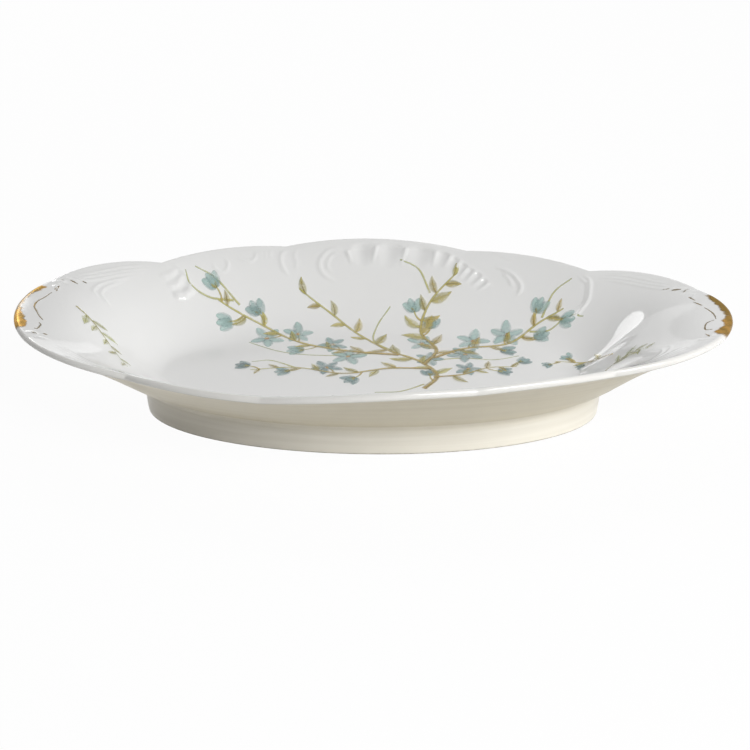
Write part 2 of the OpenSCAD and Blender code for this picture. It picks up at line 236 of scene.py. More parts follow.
class DishSurface:
    """The porcelain's shape: stations round the lobed rim, and rings from the well over the lip to the foot.

    A place on the inside is a lobe number, 0 to 12 counter-clockwise from the right tip lobe, and a depth
    in metres down the wall from the lip.
    """

    LOBE_STATIONS = {"tip": 64, "long": 72, "side": 72, "central": 100}
    LOBE_FADE = 5
    END_RISE = 4
    INSIDE_END_FADE = 8
    UNDERSIDE_END_FADE = 16
    PLAIN_SHARE = 0.34
    PLAIN_RINGS = 16
    PLAIN_CROWDING = 1.5
    CARVED_RINGS = 64
    FLOOR_BLEND = 0.02
    FAR_FLOOR_BLEND = 0.2
    HEEL_SLOPE = 2.2
    HEEL_REACH = 0.12
    HEEL_START = 0.1
    HEEL_TURN = 4.0
    LEFT_THINNING = 0.5

    # Where the relief runs in below the lip, in millimetres of depth
    RUN_IN = 2.4
    TIP_RUN_IN = 1.8
    TIP_FADE = 8
    NEAR_RUN_IN = 4
    LIP_GAP = 0.25

    # The rings that the inside doesn't have, and how soon the lip takes the underside's tint with its painted
    # shade
    FLOOR_SHARES = (0.3, 0.6, 0.8, 0.93)
    CEILING_SHARES = (0.7, 0.35)
    LIP_STEPS = 10
    UNDERSIDE_RINGS = 10
    LIP_SHADE_TINT = 0.15
    LIP_SHADE_TINT_FADE = 8

    def __init__(self, sizes):
        self.sizes = sizes
        self.lip_r = sizes.lip_t / 2
        self.floor_z = sizes.foot_height + sizes.floor_t
        self.foot_a = sizes.foot_length / 2
        self.foot_b = sizes.foot_width / 2
        self.mean_a = sizes.length / 2 - sizes.tip_bulge / 2 - self.lip_r
        self.mean_b = sizes.width / 2 - sizes.central_bulge / 2 - self.lip_r
        self.slip_share = sizes.outer_slip / (self.mean_b - self.foot_b)
        self.lay_out_rim()
        self.lay_out_inside()
        self.carve()

    def far_lobes(self):
        """Kind, start, end, bulge and rise of the lobes from the right tip round the far side."""
        z = self.sizes
        tip = (z.length / 2 - z.tip_bulge, z.tip_notch_y, z.tip_notch_height)
        outer = (z.length / 2 - z.outer_notch_setback, z.width / 2 - z.outer_notch_inset, z.notch_height)
        inner = (z.inner_notch_x, z.width / 2 - z.central_bulge, z.notch_height)
        self.twist_per_area = z.firing_twist / (outer[0] * outer[1])

        def corner(notch, sx, sy):
            return np.array([sx * notch[0], sy * notch[1], notch[2]])

        return [
            ("tip", corner(tip, 1, -1), corner(tip, 1, 1), z.tip_bulge, z.tip_rise),
            ("long", corner(tip, 1, 1), corner(outer, 1, 1), z.long_bulge, z.long_rise),
            ("side", corner(outer, 1, 1), corner(inner, 1, 1), z.side_bulge, z.side_rise),
            ("central", corner(inner, 1, 1), corner(inner, -1, 1), z.central_bulge, z.central_rise),
            ("side", corner(inner, -1, 1), corner(outer, -1, 1), z.side_bulge, z.side_rise),
            ("long", corner(outer, -1, 1), corner(tip, -1, 1), z.long_bulge, z.long_rise),
        ]

    def lobe_edge(self, start, end, bulge, rise, steps):
        """Points of one lobe's edge: a round arc over the chord between its notches, lifted by its rise."""
        t = np.arange(steps) / steps
        chord = end[:2] - start[:2]
        span = np.hypot(*chord)
        along = chord / span
        outward = np.array([along[1], -along[0]])
        radius = (span**2 / 4 + bulge**2) / (2 * bulge)
        turn = (2 * t - 1) * np.arcsin(span / 2 / radius)
        swell = radius * np.cos(turn) - radius + bulge
        place = (start[:2] + end[:2]) / 2 + np.outer(radius * np.sin(turn), along) + np.outer(swell, outward)
        height = start[2] + (end[2] - start[2]) * t + rise * swell / bulge
        return np.column_stack([place, height + self.warp(*place.T)])

    def warp(self, x, y):
        """The rim's rise by firing: a twist of its corners, and a lift of its near side."""
        near = np.clip(-y / (self.sizes.width / 2), 0, None)
        along = np.clip(1 - ((x - self.sizes.lift_x) / self.sizes.lift_reach) ** 2, 0, None)
        return self.sizes.firing_lift * near * along**2 - self.twist_per_area * x * y

    def lay_out_rim(self):
        """Stations: the rim's outermost top points, the lip's middle line and its outward direction."""
        z = self.sizes
        half_turn = np.array([-1, -1, 1])
        lobes = self.far_lobes()
        lobes += [(kind, start * half_turn, end * half_turn, b, r) for kind, start, end, b, r in lobes]
        edges = []
        for kind, *shape in lobes:
            edges.append(self.lobe_edge(*shape, self.LOBE_STATIONS[kind]))
        numbers = [k + np.arange(len(edge)) / len(edge) for k, edge in enumerate(edges)]
        self.lobe_number = np.concatenate(numbers)
        self.rim = np.vstack(edges)
        self.angle = np.arctan2(self.rim[:, 1] / z.width, self.rim[:, 0] / z.length)
        self.out = unit(self.rim[:, :2] - oval(self.foot_a, self.foot_b, self.angle))
        self.lip = np.column_stack([self.rim[:, :2] - self.lip_r * self.out, self.rim[:, 2] - self.lip_r])
        self.under_lip = self.lip_r * (1 - self.LEFT_THINNING * np.clip(-np.cos(self.angle), 0, 1))
        end_rise = (z.tip_notch_height - z.notch_height) * np.cos(self.angle) ** self.END_RISE
        outline = oval(z.length / 2, z.width / 2, self.angle)
        self.mean_z = z.notch_height + end_rise + self.warp(*outline.T) - self.lip_r
        self.stations = len(self.rim)

    def wall_place(self, start, s):
        """Plan points of a wall from an oval to the lip, which takes on the lobes near the lip."""
        mean = oval(self.mean_a, self.mean_b, self.angle)
        return start + (mean - start) * s + (self.lip[:, :2] - mean) * s**self.LOBE_FADE

    def inside_height(self, s):
        """Height of the inside at a share of the wall, or below 0 on the floor, eased where the two meet."""
        far = np.clip(np.sin(self.angle), 0, 1) ** 2
        blend = self.FLOOR_BLEND + self.FAR_FLOOR_BLEND * far
        eased = (s + np.hypot(s, blend)) / (1 + np.hypot(1, blend))
        near = np.clip(0.5 - self.HEEL_TURN * (np.sin(self.angle) - self.HEEL_START), 0, 1)
        right = np.clip(np.cos(self.angle), 0, 1) ** 2
        heel = self.HEEL_SLOPE * near * near * (3 - 2 * near) * right
        swell = heel * eased * np.exp(-eased / self.HEEL_REACH)
        share = self.wall_climb(eased, 0, 0, self.INSIDE_END_FADE) + swell
        return self.floor_z + (self.mean_z + self.lip_r - self.floor_z) * share + self.lobe_rise(s)

    def lobe_rise(self, s):
        """What the lobes' own rises add to the wall's height, near the lip."""
        return (self.lip[:, 2] - self.mean_z) * max(s, 0) ** self.LOBE_FADE

    def wall_climb(self, s, side_flare, end_flare, fade):
        """Height share of the wall, which turns level under the tip lobes."""
        end = self.sizes.tip_level * np.abs(np.cos(self.angle)) ** fade
        return climb(s, side_flare, self.sizes.lip_flare) * (1 - end) + settle(s, end_flare) * end

    def inside_ring(self, s):
        """A ring of the inside at a share of the wall, or below 0 on the floor."""
        well = oval(self.sizes.well_length / 2, self.sizes.well_width / 2, self.angle)
        place = self.wall_place(well, s) if s > 0 else well * (1 + s)
        return np.column_stack([place, self.inside_height(s)])

    def underside_ring(self, s):
        """A ring of the underside at a share of the wall from the foot to the lip."""
        foot = oval(self.foot_a, self.foot_b, self.angle)
        low = self.sizes.foot_height
        share = self.wall_climb(s, self.sizes.foot_flare, self.sizes.end_flare, self.UNDERSIDE_END_FADE)
        height = low + (self.mean_z - self.lip_r - low) * share + self.lobe_rise(s)
        height += (self.lip_r - self.under_lip) * s**self.LOBE_FADE
        return np.column_stack([self.wall_place(foot, s), height])

    def foot_ring(self, inset, z):
        """A level ring inside the foot's outer edge."""
        return level(oval(self.foot_a - inset, self.foot_b - inset, self.angle), z)

    def lip_ring(self, turn):
        """A ring of the round lip, which is finer below at the left end."""
        place = self.lip[:, :2] + self.lip_r * math.cos(turn) * self.out
        radius = self.lip_r if turn > 0 else self.under_lip
        return np.column_stack([place, self.lip[:, 2] + radius * math.sin(turn)])

    def lip_rings(self, count):
        """The lip's rings from its top towards its underside."""
        return [self.lip_ring(math.pi / 2 - math.pi * k / self.LIP_STEPS) for k in range(1, count + 1)]

    def lay_out_inside(self):
        """Rings up the inside, close together where the relief is, with depths and facings."""
        steps = np.linspace(0, 1, self.PLAIN_RINGS, endpoint=False)
        plain = self.PLAIN_SHARE * steps**self.PLAIN_CROWDING
        carved = np.linspace(self.PLAIN_SHARE, 1, self.CARVED_RINGS)
        self.smooth = np.array([self.inside_ring(s) for s in np.concatenate([plain, carved])])
        gaps = np.linalg.norm(np.diff(self.smooth, axis=0), axis=2)
        self.depth = np.vstack([np.cumsum(gaps[::-1], axis=0)[::-1], np.zeros((1, self.stations))])
        self.facing = self.facings(self.smooth)

    @staticmethod
    def facings(rings):
        """Upward unit normals of a grid of rings."""
        up_wall = np.gradient(rings, axis=0)
        round_rim = np.roll(rings, -1, axis=1) - np.roll(rings, 1, axis=1)
        return unit(np.cross(up_wall, round_rim))

    def at(self, lobe_number, depth, grid):
        """Points of a grid of the inside at the given lobe numbers and depths."""
        numbers = np.append(self.lobe_number, LOBES)
        place = np.interp(np.mod(lobe_number, LOBES), numbers, np.arange(self.stations + 1))
        points = []
        for x, d in zip(np.atleast_1d(place), np.atleast_1d(depth)):
            i = int(x) % self.stations
            j = (i + 1) % self.stations
            ring = np.interp(d, self.depth[::-1, i], np.arange(len(self.depth))[::-1])
            r = min(int(ring), len(grid) - 2)
            low = grid[r, i] * (1 - x % 1) + grid[r, j] * (x % 1)
            high = grid[r + 1, i] * (1 - x % 1) + grid[r + 1, j] * (x % 1)
            points.append(low + (high - low) * (ring - r))
        return np.array(points)

    def carve(self):
        """Lifts the inside along its facings by the moulded relief."""
        points = self.smooth.reshape(-1, 3)
        raised = np.zeros(len(points))
        sunk = np.zeros(len(points))
        for half_width, height, path, fading in relief_strokes(self):
            near, lift = stroke_lift(points, path, half_width, abs(height), fading)
            if height > 0:
                raised[near] = np.maximum(raised[near], lift)
            else:
                sunk[near] = np.maximum(sunk[near], lift)
        lift = (raised - sunk).reshape(self.depth.shape) * self.sizes.relief
        near = np.clip(-np.sin(self.angle), 0, 1)
        run_in = self.RUN_IN - self.TIP_RUN_IN * np.cos(self.angle) ** self.TIP_FADE + self.NEAR_RUN_IN * near
        lift *= np.clip((self.depth - self.LIP_GAP * MM * run_in) / (MM * run_in), 0, 1)
        self.inside = self.smooth + self.facing * lift[..., None]

    def body_rings(self):
        """All rings of the body from the floor's middle to the foot's inside, and how far each faces down,
        which sets the painted shade below.
        """
        foot = oval(self.foot_a, self.foot_b, self.angle)
        wall = np.append(np.linspace(1, self.slip_share, self.UNDERSIDE_RINGS), 0)
        floor = [self.inside_ring(q - 1) for q in self.FLOOR_SHARES]
        edge = self.lip_rings(self.LIP_STEPS - 1)
        under = [self.underside_ring(s) for s in wall]
        ceiling = [level(foot * q, self.sizes.foot_height) for q in self.CEILING_SHARES]
        rings = floor + list(self.inside) + edge + under + ceiling
        inner = len(floor) + len(self.inside)
        # Even the lip's crest takes a little of the underside's painted shade, more towards its underside
        below = self.LIP_SHADE_TINT + (1 - self.LIP_SHADE_TINT) * np.linspace(0, 1, len(edge)) ** self.LIP_SHADE_TINT_FADE
        down = np.concatenate([np.zeros(inner), below, np.ones(len(under + ceiling))])
        return rings, down


# The moulded relief, as strokes of half width and height in millimetres along (lobe number, depth) points

LONG_LOBE_RIDGES = [
    (0.8, 0.22, [(5.12, 1.9), (5.36, 2.7), (5.53, 3.4), (5.67, 3.5), (5.80, 2.4)]),
    (0.8, 0.22, [(5.16, 3.6), (5.38, 4.6), (5.58, 5.4), (5.72, 5.0), (5.84, 4.0)]),
    (0.8, 0.22, [(5.24, 5.3), (5.42, 6.3), (5.60, 7.0), (5.76, 6.8), (5.86, 6.0)]),
    (0.9, 0.26, [(5.36, 7.4), (5.50, 8.6), (5.67, 9.4), (5.81, 10.2), (5.92, 12.0), (5.97, 15.0)]),
    (0.9, 0.26, [(5.52, 9.8), (5.67, 11.0), (5.80, 12.3), (5.90, 14.4), (5.95, 17.2), (6.00, 20.6)]),
]
OUTER_NOTCH_FAN = [
    (1.0, 0.20, [
        (4.98, 0.8), (4.93, 1.8), (4.90, 4.2), (4.885, 7.0), (4.89, 10.0), (4.91, 13.0), (4.95, 15.6),
    ]),
    (1.8, 0.18, [(4.92, 3.6), (4.98, 4.8), (5.05, 5.8), (5.09, 6.4)]),
    (2.0, 0.24, [(4.90, 6.8), (4.96, 8.2), (5.03, 9.4), (5.08, 10.2)]),
    (2.4, 0.55, [(4.91, 12.6), (4.97, 13.4), (5.05, 14.2), (5.10, 14.8)]),
    (1.7, -0.18, [(4.92, 5.2), (4.98, 6.6), (5.05, 7.8)]),
    (2.0, -0.24, [(4.91, 8.8), (4.97, 10.6), (5.06, 12.2)]),
]
OUTER_NOTCH_SCROLL = [
    (1.0, 0.42, [
        (2.01, 2.0), (1.92, 5.0), (1.81, 10.9), (1.74, 15.4), (1.71, 20.2), (1.72, 22.8), (1.79, 23.4),
        (1.95, 22),
    ]),
    (0.7, 0.25, [(2.05, 2.7), (1.93, 6.0), (1.82, 12.1), (1.76, 16.1), (1.78, 18.6)]),
]
SHELL_EDGE = [
    (3.68, 5.4), (3.58, 3.8), (3.50, 3.0), (3.33, 2.9), (3.15, 2.4), (3.06, 3.2), (2.98, 5.6), (2.91, 7.4),
    (2.82, 9.4), (2.73, 12.2), (2.67, 14.6),
]
SHELL_RIBS = [
    [(3.67, 5.2), (3.645, 11.0)],
    [(3.50, 3.0), (3.52, 11.2)],
    [(3.33, 3.0), (3.345, 11.6)],
    [(3.16, 2.5), (3.16, 9.8)],
    [(3.07, 3.2), (3.09, 9.4)],
    [(3.01, 4.6), (3.03, 10.2)],
    [(2.935, 7.4), (2.985, 12.4)],
    [(2.86, 8.6), (2.915, 13.4)],
    [(2.78, 10.8), (2.84, 15.0)],
    [(2.71, 13.2), (2.77, 16.6)],
]
CENTRAL_SCROLL = [
    (0.7, 0.22, SHELL_EDGE),
    (1.2, 0.24, [
        (3.68, 5.2), (3.72, 4.2), (3.76, 4.3), (3.80, 6.0), (3.835, 8.8), (3.84, 12.0), (3.815, 14.8),
        (3.77, 17),
    ]),
    (1.0, 0.16, [(3.70, 7.0), (3.745, 6.4), (3.78, 8.4), (3.795, 11.0), (3.78, 13.2)]),
]
INNER_NOTCH_RIDGES = [
    (1.1, 0.24, [(4.00, 1.4), (4.055, 3.6), (4.08, 6.7), (4.08, 9.6), (4.06, 11.8)]),
    (0.9, 0.16, [(3.95, 2.2), (3.97, 4.8), (3.97, 7.6), (3.985, 10.0)]),
]
SIDE_LOBE_HOOK = [
    (0.8, 0.22, [(4.625, 5.0), (4.63, 7.3), (4.60, 9.0), (4.555, 8.7), (4.515, 6.3), (4.515, 4.3)]),
    (0.8, 0.22, [(4.41, 4.6), (4.35, 6.4), (4.305, 6.0), (4.265, 4.1), (4.25, 1.8)]),
    (0.6, 0.16, [(4.21, 1.8), (4.236, 5.2)]),
    (0.6, 0.16, [(4.17, 1.8), (4.196, 5.4)]),
    (0.6, 0.16, [(4.135, 1.6), (4.16, 5.6)]),
]
SIDE_LOBE_LEAF = [
    (1.0, 0.45, [(2.695, 6.7), (2.61, 7.5), (2.53, 9.0), (2.445, 11.7), (2.417, 13.7), (2.417, 15.8)]),
    (0.8, 0.30, [(2.63, 8.6), (2.56, 10.6), (2.50, 13.0)]),
    (0.7, 0.25, [(2.72, 1.4), (2.66, 2.4), (2.61, 2.2)]),
]
TIP_SCROLL = [
    (1.2, 0.45, [(6.00, 0.8), (6.00, 1.8), (5.97, 3.4)]),
    (1.2, 0.45, [(6.90, 0.8), (6.91, 1.8), (6.94, 3.4)]),
    (0.8, 0.30, [(5.92, 1.2), (5.905, 3.4), (5.89, 6.0)]),
    (0.8, 0.30, [(5.86, 3.4), (5.85, 5.3), (5.82, 7.0)]),
    (0.8, 0.30, [(6.06, 2.6), (6.10, 4.3), (6.125, 5.7)]),
    (0.8, 0.30, [(6.98, 1.2), (7.00, 3.0), (7.02, 4.8)]),
]

# The near side's share of the relief, the ribs and scoops in millimetres, and how strokes fade at their ends
NEAR_SIDE = 0.5
RIB_HEIGHTS = (0.7, 0.4)
RIB_HALF_WIDTH = 1.1
RIB_START = 8
RIB_FADE = 0.8
SCOOP_SHARE = 0.2
SCOOP_MOST = 0.8
STROKE_ENDS = 6
STROKE_LEAST = 0.25
STROKE_FADE = 0.7


def mirrored(strokes):
    """The same strokes on the other end of the far side."""
    return [(w, h, [(HALF_TURN + 1 - number, depth) for number, depth in path]) for w, h, path in strokes]


def laid(surface, points, grid, turn=0):
    """A smooth path on a grid of the inside through (lobe number, depth) points, turned by some lobes."""
    path = smooth_path(points)
    return surface.at(path[:, 0] + turn, path[:, 1] * MM, grid)


def both_ends(t):
    """Strength along a stroke that is strong in its middle."""
    return np.clip(np.minimum(t, 1 - t) * STROKE_ENDS, STROKE_LEAST, 1) ** STROKE_FADE


def one_end(t):
    """Strength along a stroke that starts abruptly and then fades away."""
    return np.clip(t * RIB_START, 0, 1) * (1 - t) ** RIB_FADE


def shell_flutes(surface, turn, share):
    """Ribs of the shell, and the wide scoops between them."""
    ribs = [laid(surface, ends, surface.smooth, turn) for ends in SHELL_RIBS]
    heights = np.linspace(*RIB_HEIGHTS, len(ribs)) * share * MM
    strokes = [(RIB_HALF_WIDTH * MM, height, rib, one_end) for rib, height in zip(ribs, heights)]
    for left, right in zip(ribs[:-1], ribs[1:]):
        half_width = np.linalg.norm(left - right, axis=1).mean() / 2
        scoop = min(SCOOP_SHARE * half_width, SCOOP_MOST * MM)
        strokes.append((half_width, -scoop * share, (left + right) / 2, one_end))
    return strokes


def relief_strokes(surface):
    """Every stroke of the relief as half width, height, a path on the surface in metres, and its fading."""
    sides = LONG_LOBE_RIDGES + mirrored(LONG_LOBE_RIDGES[:3]) + OUTER_NOTCH_FAN + OUTER_NOTCH_SCROLL
    sides += CENTRAL_SCROLL + INNER_NOTCH_RIDGES + SIDE_LOBE_HOOK + SIDE_LOBE_LEAF
    lines = [(0, 1, stroke) for stroke in sides + TIP_SCROLL + mirrored(TIP_SCROLL)]
    lines += [(HALF_TURN, NEAR_SIDE, stroke) for stroke in sides]
    strokes = shell_flutes(surface, 0, 1) + shell_flutes(surface, HALF_TURN, NEAR_SIDE)
    for turn, share, (half_width, height, points) in lines:
        place = laid(surface, points, surface.smooth, turn)
        strokes.append((half_width * MM, height * share * MM, place, both_ends))
    return strokes


def stroke_lift(points, path, half_width, height, fading):
    """Which points lie near a path, and how high the stroke, a round bead, lifts them."""
    low = path.min(axis=0) - half_width
    high = path.max(axis=0) + half_width
    near = np.flatnonzero(np.all((points > low) & (points < high), axis=1))
    best = np.zeros(len(near))
    run = np.linspace(0, 1, len(path))
    for k in range(len(path) - 1):
        step = path[k + 1] - path[k]
        t = np.clip((points[near] - path[k]) @ step / max(step @ step, 1e-18), 0, 1)
        gap = np.linalg.norm(points[near] - path[k] - t[:, None] * step, axis=1)
        share = fading(run[k] + (run[k + 1] - run[k]) * t)
        bead = np.clip(1 - (gap / (half_width * (0.5 + 0.5 * share))) ** 2, 0, 1) ** 2
        best = np.maximum(best, height * share * bead)
    return near, best


# Meshes

def mesh_object(name, points, faces, material, sharp=None):
    """A smooth mesh object that rides on the dish."""
    mesh = bpy.data.meshes.new(name)
    mesh.from_pydata(np.asarray(points, float).tolist(), [], faces)
    mesh.update()
    mesh.shade_smooth()
    if sharp is not None:
        mesh.set_sharp_from_angle(angle=sharp)
    mesh.materials.append(material)
    piece = bpy.data.objects.new(name, mesh)
    bpy.context.scene.collection.objects.link(piece)
    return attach(piece, "root")


def paint(piece, name, values):
    """A number for each point of a mesh, for its material to read."""
    attribute = piece.data.attributes.new(name, "FLOAT", "POINT")
    attribute.data.foreach_set("value", np.asarray(values, np.float32))


def band_faces(rings, stations, closed):
    """Quads between neighbouring rings, all the way round."""
    faces = []
    for r in range(rings if closed else rings - 1):
        here = r * stations
        after = (r + 1) % rings * stations
        for i in range(stations):
            j = (i + 1) % stations
            faces.append((here + i, here + j, after + j, after + i)[::-1])
    return faces


def corner_arc(centre, radius, start, end, steps=6):
    """Points of a round corner, as (inset, height)."""
    turns = np.linspace(math.radians(start), math.radians(end), steps)
    return [(centre[0] + radius * math.cos(t), centre[1] + radius * math.sin(t)) for t in turns]


# Finishes: patterns in waves a metre, the ranges they are cut to, how strong they are, and gloss

CLOUDING = 38.0
FOOT_CLOUDING = 45.0
UNEVENNESS = 55.0
SPECK_CELLS = 85.0
DULLING = 120.0
GOLD_TONE = 260.0
GOLD_WEAR = 420.0
WASH = 420.0
GRIT = 900.0
STREAKS = (14.0, 14.0, 520.0)
CLOUD_RANGE = (0.35, 0.75)
STREAK_RANGE = (0.4, 0.7)
DULL_RANGE = (0.3, 0.8)
GRIT_RANGE = (0.4, 0.7)
WEAR_RANGE = (0.3, 0.7)
TONE_RANGE = (0.35, 0.65)
CLOUDS = 0.10
FOOT_CLOUDS = 0.12
UNDERSIDE_STREAKS = 0.3
FOOT_STREAKS = 0.25
SPECK_CHOICE = (0.93, 0.94)
SPECK_EDGE = (0.018, 0.034)
SPECK_DARKNESS = 0.75
BUMP_STRENGTH = 0.12
BUMP_DEPTH = 0.4 * MM
BARE_EDGE = (0.3 * MM, 0.55 * MM)
JOINT_START = 3 * MM
JOINT_END = 0.5 * MM
JOINT_SHADE_SHARE = 0.5
GLAZE_GLOSS = (0.045, 0.11)
FOOT_GLOSS = (0.29, 0.36)
GOLD_GLOSS = (0.26, 0.18)
GLAZE_SHINE = (0.5, 0.3)
UNDERSIDE_DULLNESS = 0.3
GROUND_ROUGHNESS = 0.75
GOLD_COVER = (0.75, 1.4)
GOLD_METAL = 0.9
WASH_COVER = (0.5, 1.0)


def blank_tree(owner, output):
    """The emptied node tree of a material or a world, and the surface input of its output."""
    owner.use_nodes = True
    tree = owner.node_tree
    tree.nodes.clear()
    return tree, tree.nodes.new(output).inputs["Surface"]


def shader(name):
    """A new material with its node tree and main shader."""
    material = bpy.data.materials.new(name)
    tree, surface = blank_tree(material, "ShaderNodeOutputMaterial")
    principled = tree.nodes.new("ShaderNodeBsdfPrincipled")
    tree.links.new(principled.outputs["BSDF"], surface)
    return material, tree, principled


def feed(tree, socket, value):
    """Links an input to another node's output, or sets its value."""
    if isinstance(value, bpy.types.NodeSocket):
        tree.links.new(value, socket)
    else:
        socket.default_value = value


def dress(tree, node, **inputs):
    """Feeds a node's inputs by name, with _ for each space."""
    for key, value in inputs.items():
        feed(tree, node.inputs[key.replace("_", " ")], value)


def add(tree, kind, settings=None, **inputs):
    """A new node with its settings and its inputs."""
    node = tree.nodes.new(kind)
    for key, value in (settings or {}).items():
        setattr(node, key, value)
    dress(tree, node, **inputs)
    return node


def noise(tree, place, scale, detail, roughness=0.5):
    """A soft noise from 0 to 1."""
    node = add(tree, "ShaderNodeTexNoise", Vector=place, Scale=scale, Detail=detail, Roughness=roughness)
    return node.outputs["Fac"]


def remap(tree, value, low, high, to_low=0.0, to_high=1.0):
    """A value mapped from one range to another, and kept inside it."""
    ranges = {"From_Min": low, "From_Max": high, "To_Min": to_low, "To_Max": to_high}
    return add(tree, "ShaderNodeMapRange", Value=value, **ranges).outputs["Result"]


def blend(tree, factor, first, second):
    """A colour between two colours."""
    node = add(tree, "ShaderNodeMix", {"data_type": "RGBA"})
    feed(tree, node.inputs[0], factor)
    for socket, tint in ((node.inputs[6], first), (node.inputs[7], second)):
        feed(tree, socket, tint if isinstance(tint, bpy.types.NodeSocket) else (*tint, 1.0))
    return node.outputs[2]


def combine(tree, operation, first, second):
    """The sum, the product or the like of two values."""
    node = add(tree, "ShaderNodeMath", {"operation": operation})
    feed(tree, node.inputs[0], first)
    feed(tree, node.inputs[1], second)
    return node.outputs[0]


def attribute(tree, name, output="Fac"):
    """A number or colour painted on the mesh."""
    return add(tree, "ShaderNodeAttribute", {"attribute_name": name}).outputs[output]


def dish_place(tree):
    """The place on the dish that patterns are laid out by."""
    return tree.nodes.new("ShaderNodeTexCoord").outputs["Object"]


def streaks(tree, place, most):
    """A share that comes and goes in faint level streaks, as a sponge leaves them on a turning dish."""
    drawn_out = add(tree, "ShaderNodeMapping", Vector=place, Scale=STREAKS).outputs["Vector"]
    return remap(tree, noise(tree, drawn_out, 1.0, 2.0), *STREAK_RANGE, 0.0, most)


def clouds(tree, place, scale, most):
    """A share that comes and goes in soft clouds."""
    return remap(tree, noise(tree, place, scale, 4.0), *CLOUD_RANGE, 0.0, most)


def dulled(tree, place, least, most):
    """Roughness of a gloss that use has dulled a little."""
    return remap(tree, noise(tree, place, DULLING, 5.0), *DULL_RANGE, least, most)


def glaze_bump(tree, place):
    """The glaze's faint unevenness."""
    wave = noise(tree, place, UNEVENNESS, 2.0)
    node = add(tree, "ShaderNodeBump", Height=wave, Strength=BUMP_STRENGTH, Distance=BUMP_DEPTH)
    return node.outputs["Normal"]


def glaze_colour(tree, place, below, colours):
    """White glaze, cool inside, warm and darker below where the darkness is painted shade, faintly clouded,
    with streaks below and a few iron specks.
    """
    # Below, the white goes over to the underside's warm colour with its painted shade
    white = blend(tree, below, colours.glaze_inside, colours.underside_glaze_painted_shade)
    clouded = blend(tree, clouds(tree, place, CLOUDING, CLOUDS), white, colours.cloud)
    drawn = combine(tree, "MULTIPLY", below, streaks(tree, place, UNDERSIDE_STREAKS))
    streaked = blend(tree, drawn, clouded, colours.streak)
    cells = add(tree, "ShaderNodeTexVoronoi", Vector=place, Scale=SPECK_CELLS, Randomness=1.0)
    chosen = remap(tree, cells.outputs["Color"], *SPECK_CHOICE)
    dot = remap(tree, cells.outputs["Distance"], *SPECK_EDGE, SPECK_DARKNESS, 0.0)
    return blend(tree, combine(tree, "MULTIPLY", chosen, dot), streaked, colours.speck)


def porcelain_material(colours):
    """Glossy clear glaze over white porcelain, duller below, and darker below with painted shade."""
    material, tree, principled = shader("glazed_porcelain")
    place = dish_place(tree)
    # The underside share sets the painted shade below as well as the dullness
    below = attribute(tree, "underside")
    dullness = combine(tree, "MULTIPLY", below, UNDERSIDE_DULLNESS)
    dress(
        tree, principled,
        Base_Color=glaze_colour(tree, place, below, colours),
        Roughness=combine(tree, "ADD", dulled(tree, place, *GLAZE_GLOSS), dullness),
        Specular_IOR_Level=remap(tree, below, 0.0, 1.0, *GLAZE_SHINE),
        Normal=glaze_bump(tree, place),
    )
    return material


def foot_material(colours, top):
    """The same glaze, warm, running at its top into the body's underside colour as painted shade under the
    overhang, with a bare ground edge on the table that also holds painted contact shadow.
    """
    material, tree, principled = shader("foot_porcelain")
    place = dish_place(tree)
    height = add(tree, "ShaderNodeSeparateXYZ", Vector=place).outputs["Z"]
    bare = remap(tree, height, *BARE_EDGE, 1.0, 0.0)
    # The top of the foot is darkened into the underside's colour, as painted shade where the body overhangs
    # it
    joint = remap(tree, height, top - JOINT_START, top - JOINT_END, 0.0, JOINT_SHADE_SHARE)
    warm = blend(tree, joint, colours.foot_glaze, colours.underside_glaze_painted_shade)
    clouded = blend(tree, clouds(tree, place, FOOT_CLOUDING, FOOT_CLOUDS), warm, colours.foot_cloud)
    glazed = blend(tree, streaks(tree, place, FOOT_STREAKS), clouded, colours.foot_streak)
    # The bare ground edge: clay and grit, darkened as painted contact shadow
    grit = remap(tree, noise(tree, place, GRIT, 3.0), *GRIT_RANGE)
    ground = blend(tree, grit, colours.bare_clay_and_shadow, colours.grit)
    rough = add(tree, "ShaderNodeMix", {"data_type": "FLOAT"})
    for socket, value in ((0, bare), (2, dulled(tree, place, *FOOT_GLOSS)), (3, GROUND_ROUGHNESS)):
        feed(tree, rough.inputs[socket], value)
    dress(
        tree, principled,
        Base_Color=blend(tree, bare, glazed, ground),
        Roughness=rough.outputs[0],
        Normal=glaze_bump(tree, place),
    )
    return material


def gilding_material(colours):
    """Fired gold, bright, browned and worn away in patches so that the glaze shows."""
    material, tree, principled = shader("gilding")
    place = dish_place(tree)
    patch = noise(tree, place, GOLD_WEAR, 5.0, 0.65)
    worn = combine(tree, "ADD", attribute(tree, "cover"), patch)
    tone = remap(tree, noise(tree, place, GOLD_TONE, 4.0), *TONE_RANGE)
    dress(
        tree, principled,
        Base_Color=blend(tree, tone, colours.gold_worn, attribute(tree, "pigment", "Color")),
        Alpha=remap(tree, worn, *GOLD_COVER),
        Roughness=remap(tree, patch, *WEAR_RANGE, *GOLD_GLOSS),
        Metallic=GOLD_METAL,
        Specular_Tint=(*colours.gold_edge, 1.0),
        Normal=glaze_bump(tree, place),
    )
    return material


def print_material():
    """Fired pigment under the gloss, thin and uneven like a wash, fading into the glaze at its edges."""
    material, tree, principled = shader("printed_pigment")
    place = dish_place(tree)
    wash = remap(tree, noise(tree, place, WASH, 4.0, 0.6), *WEAR_RANGE, *WASH_COVER)
    dress(
        tree, principled,
        Base_Color=attribute(tree, "pigment", "Color"),
        Alpha=combine(tree, "MULTIPLY", attribute(tree, "cover"), wash),
        Roughness=dulled(tree, place, *GLAZE_GLOSS),
        Normal=glaze_bump(tree, place),
    )
    return material


# The gold and the print, as thin films on the glaze

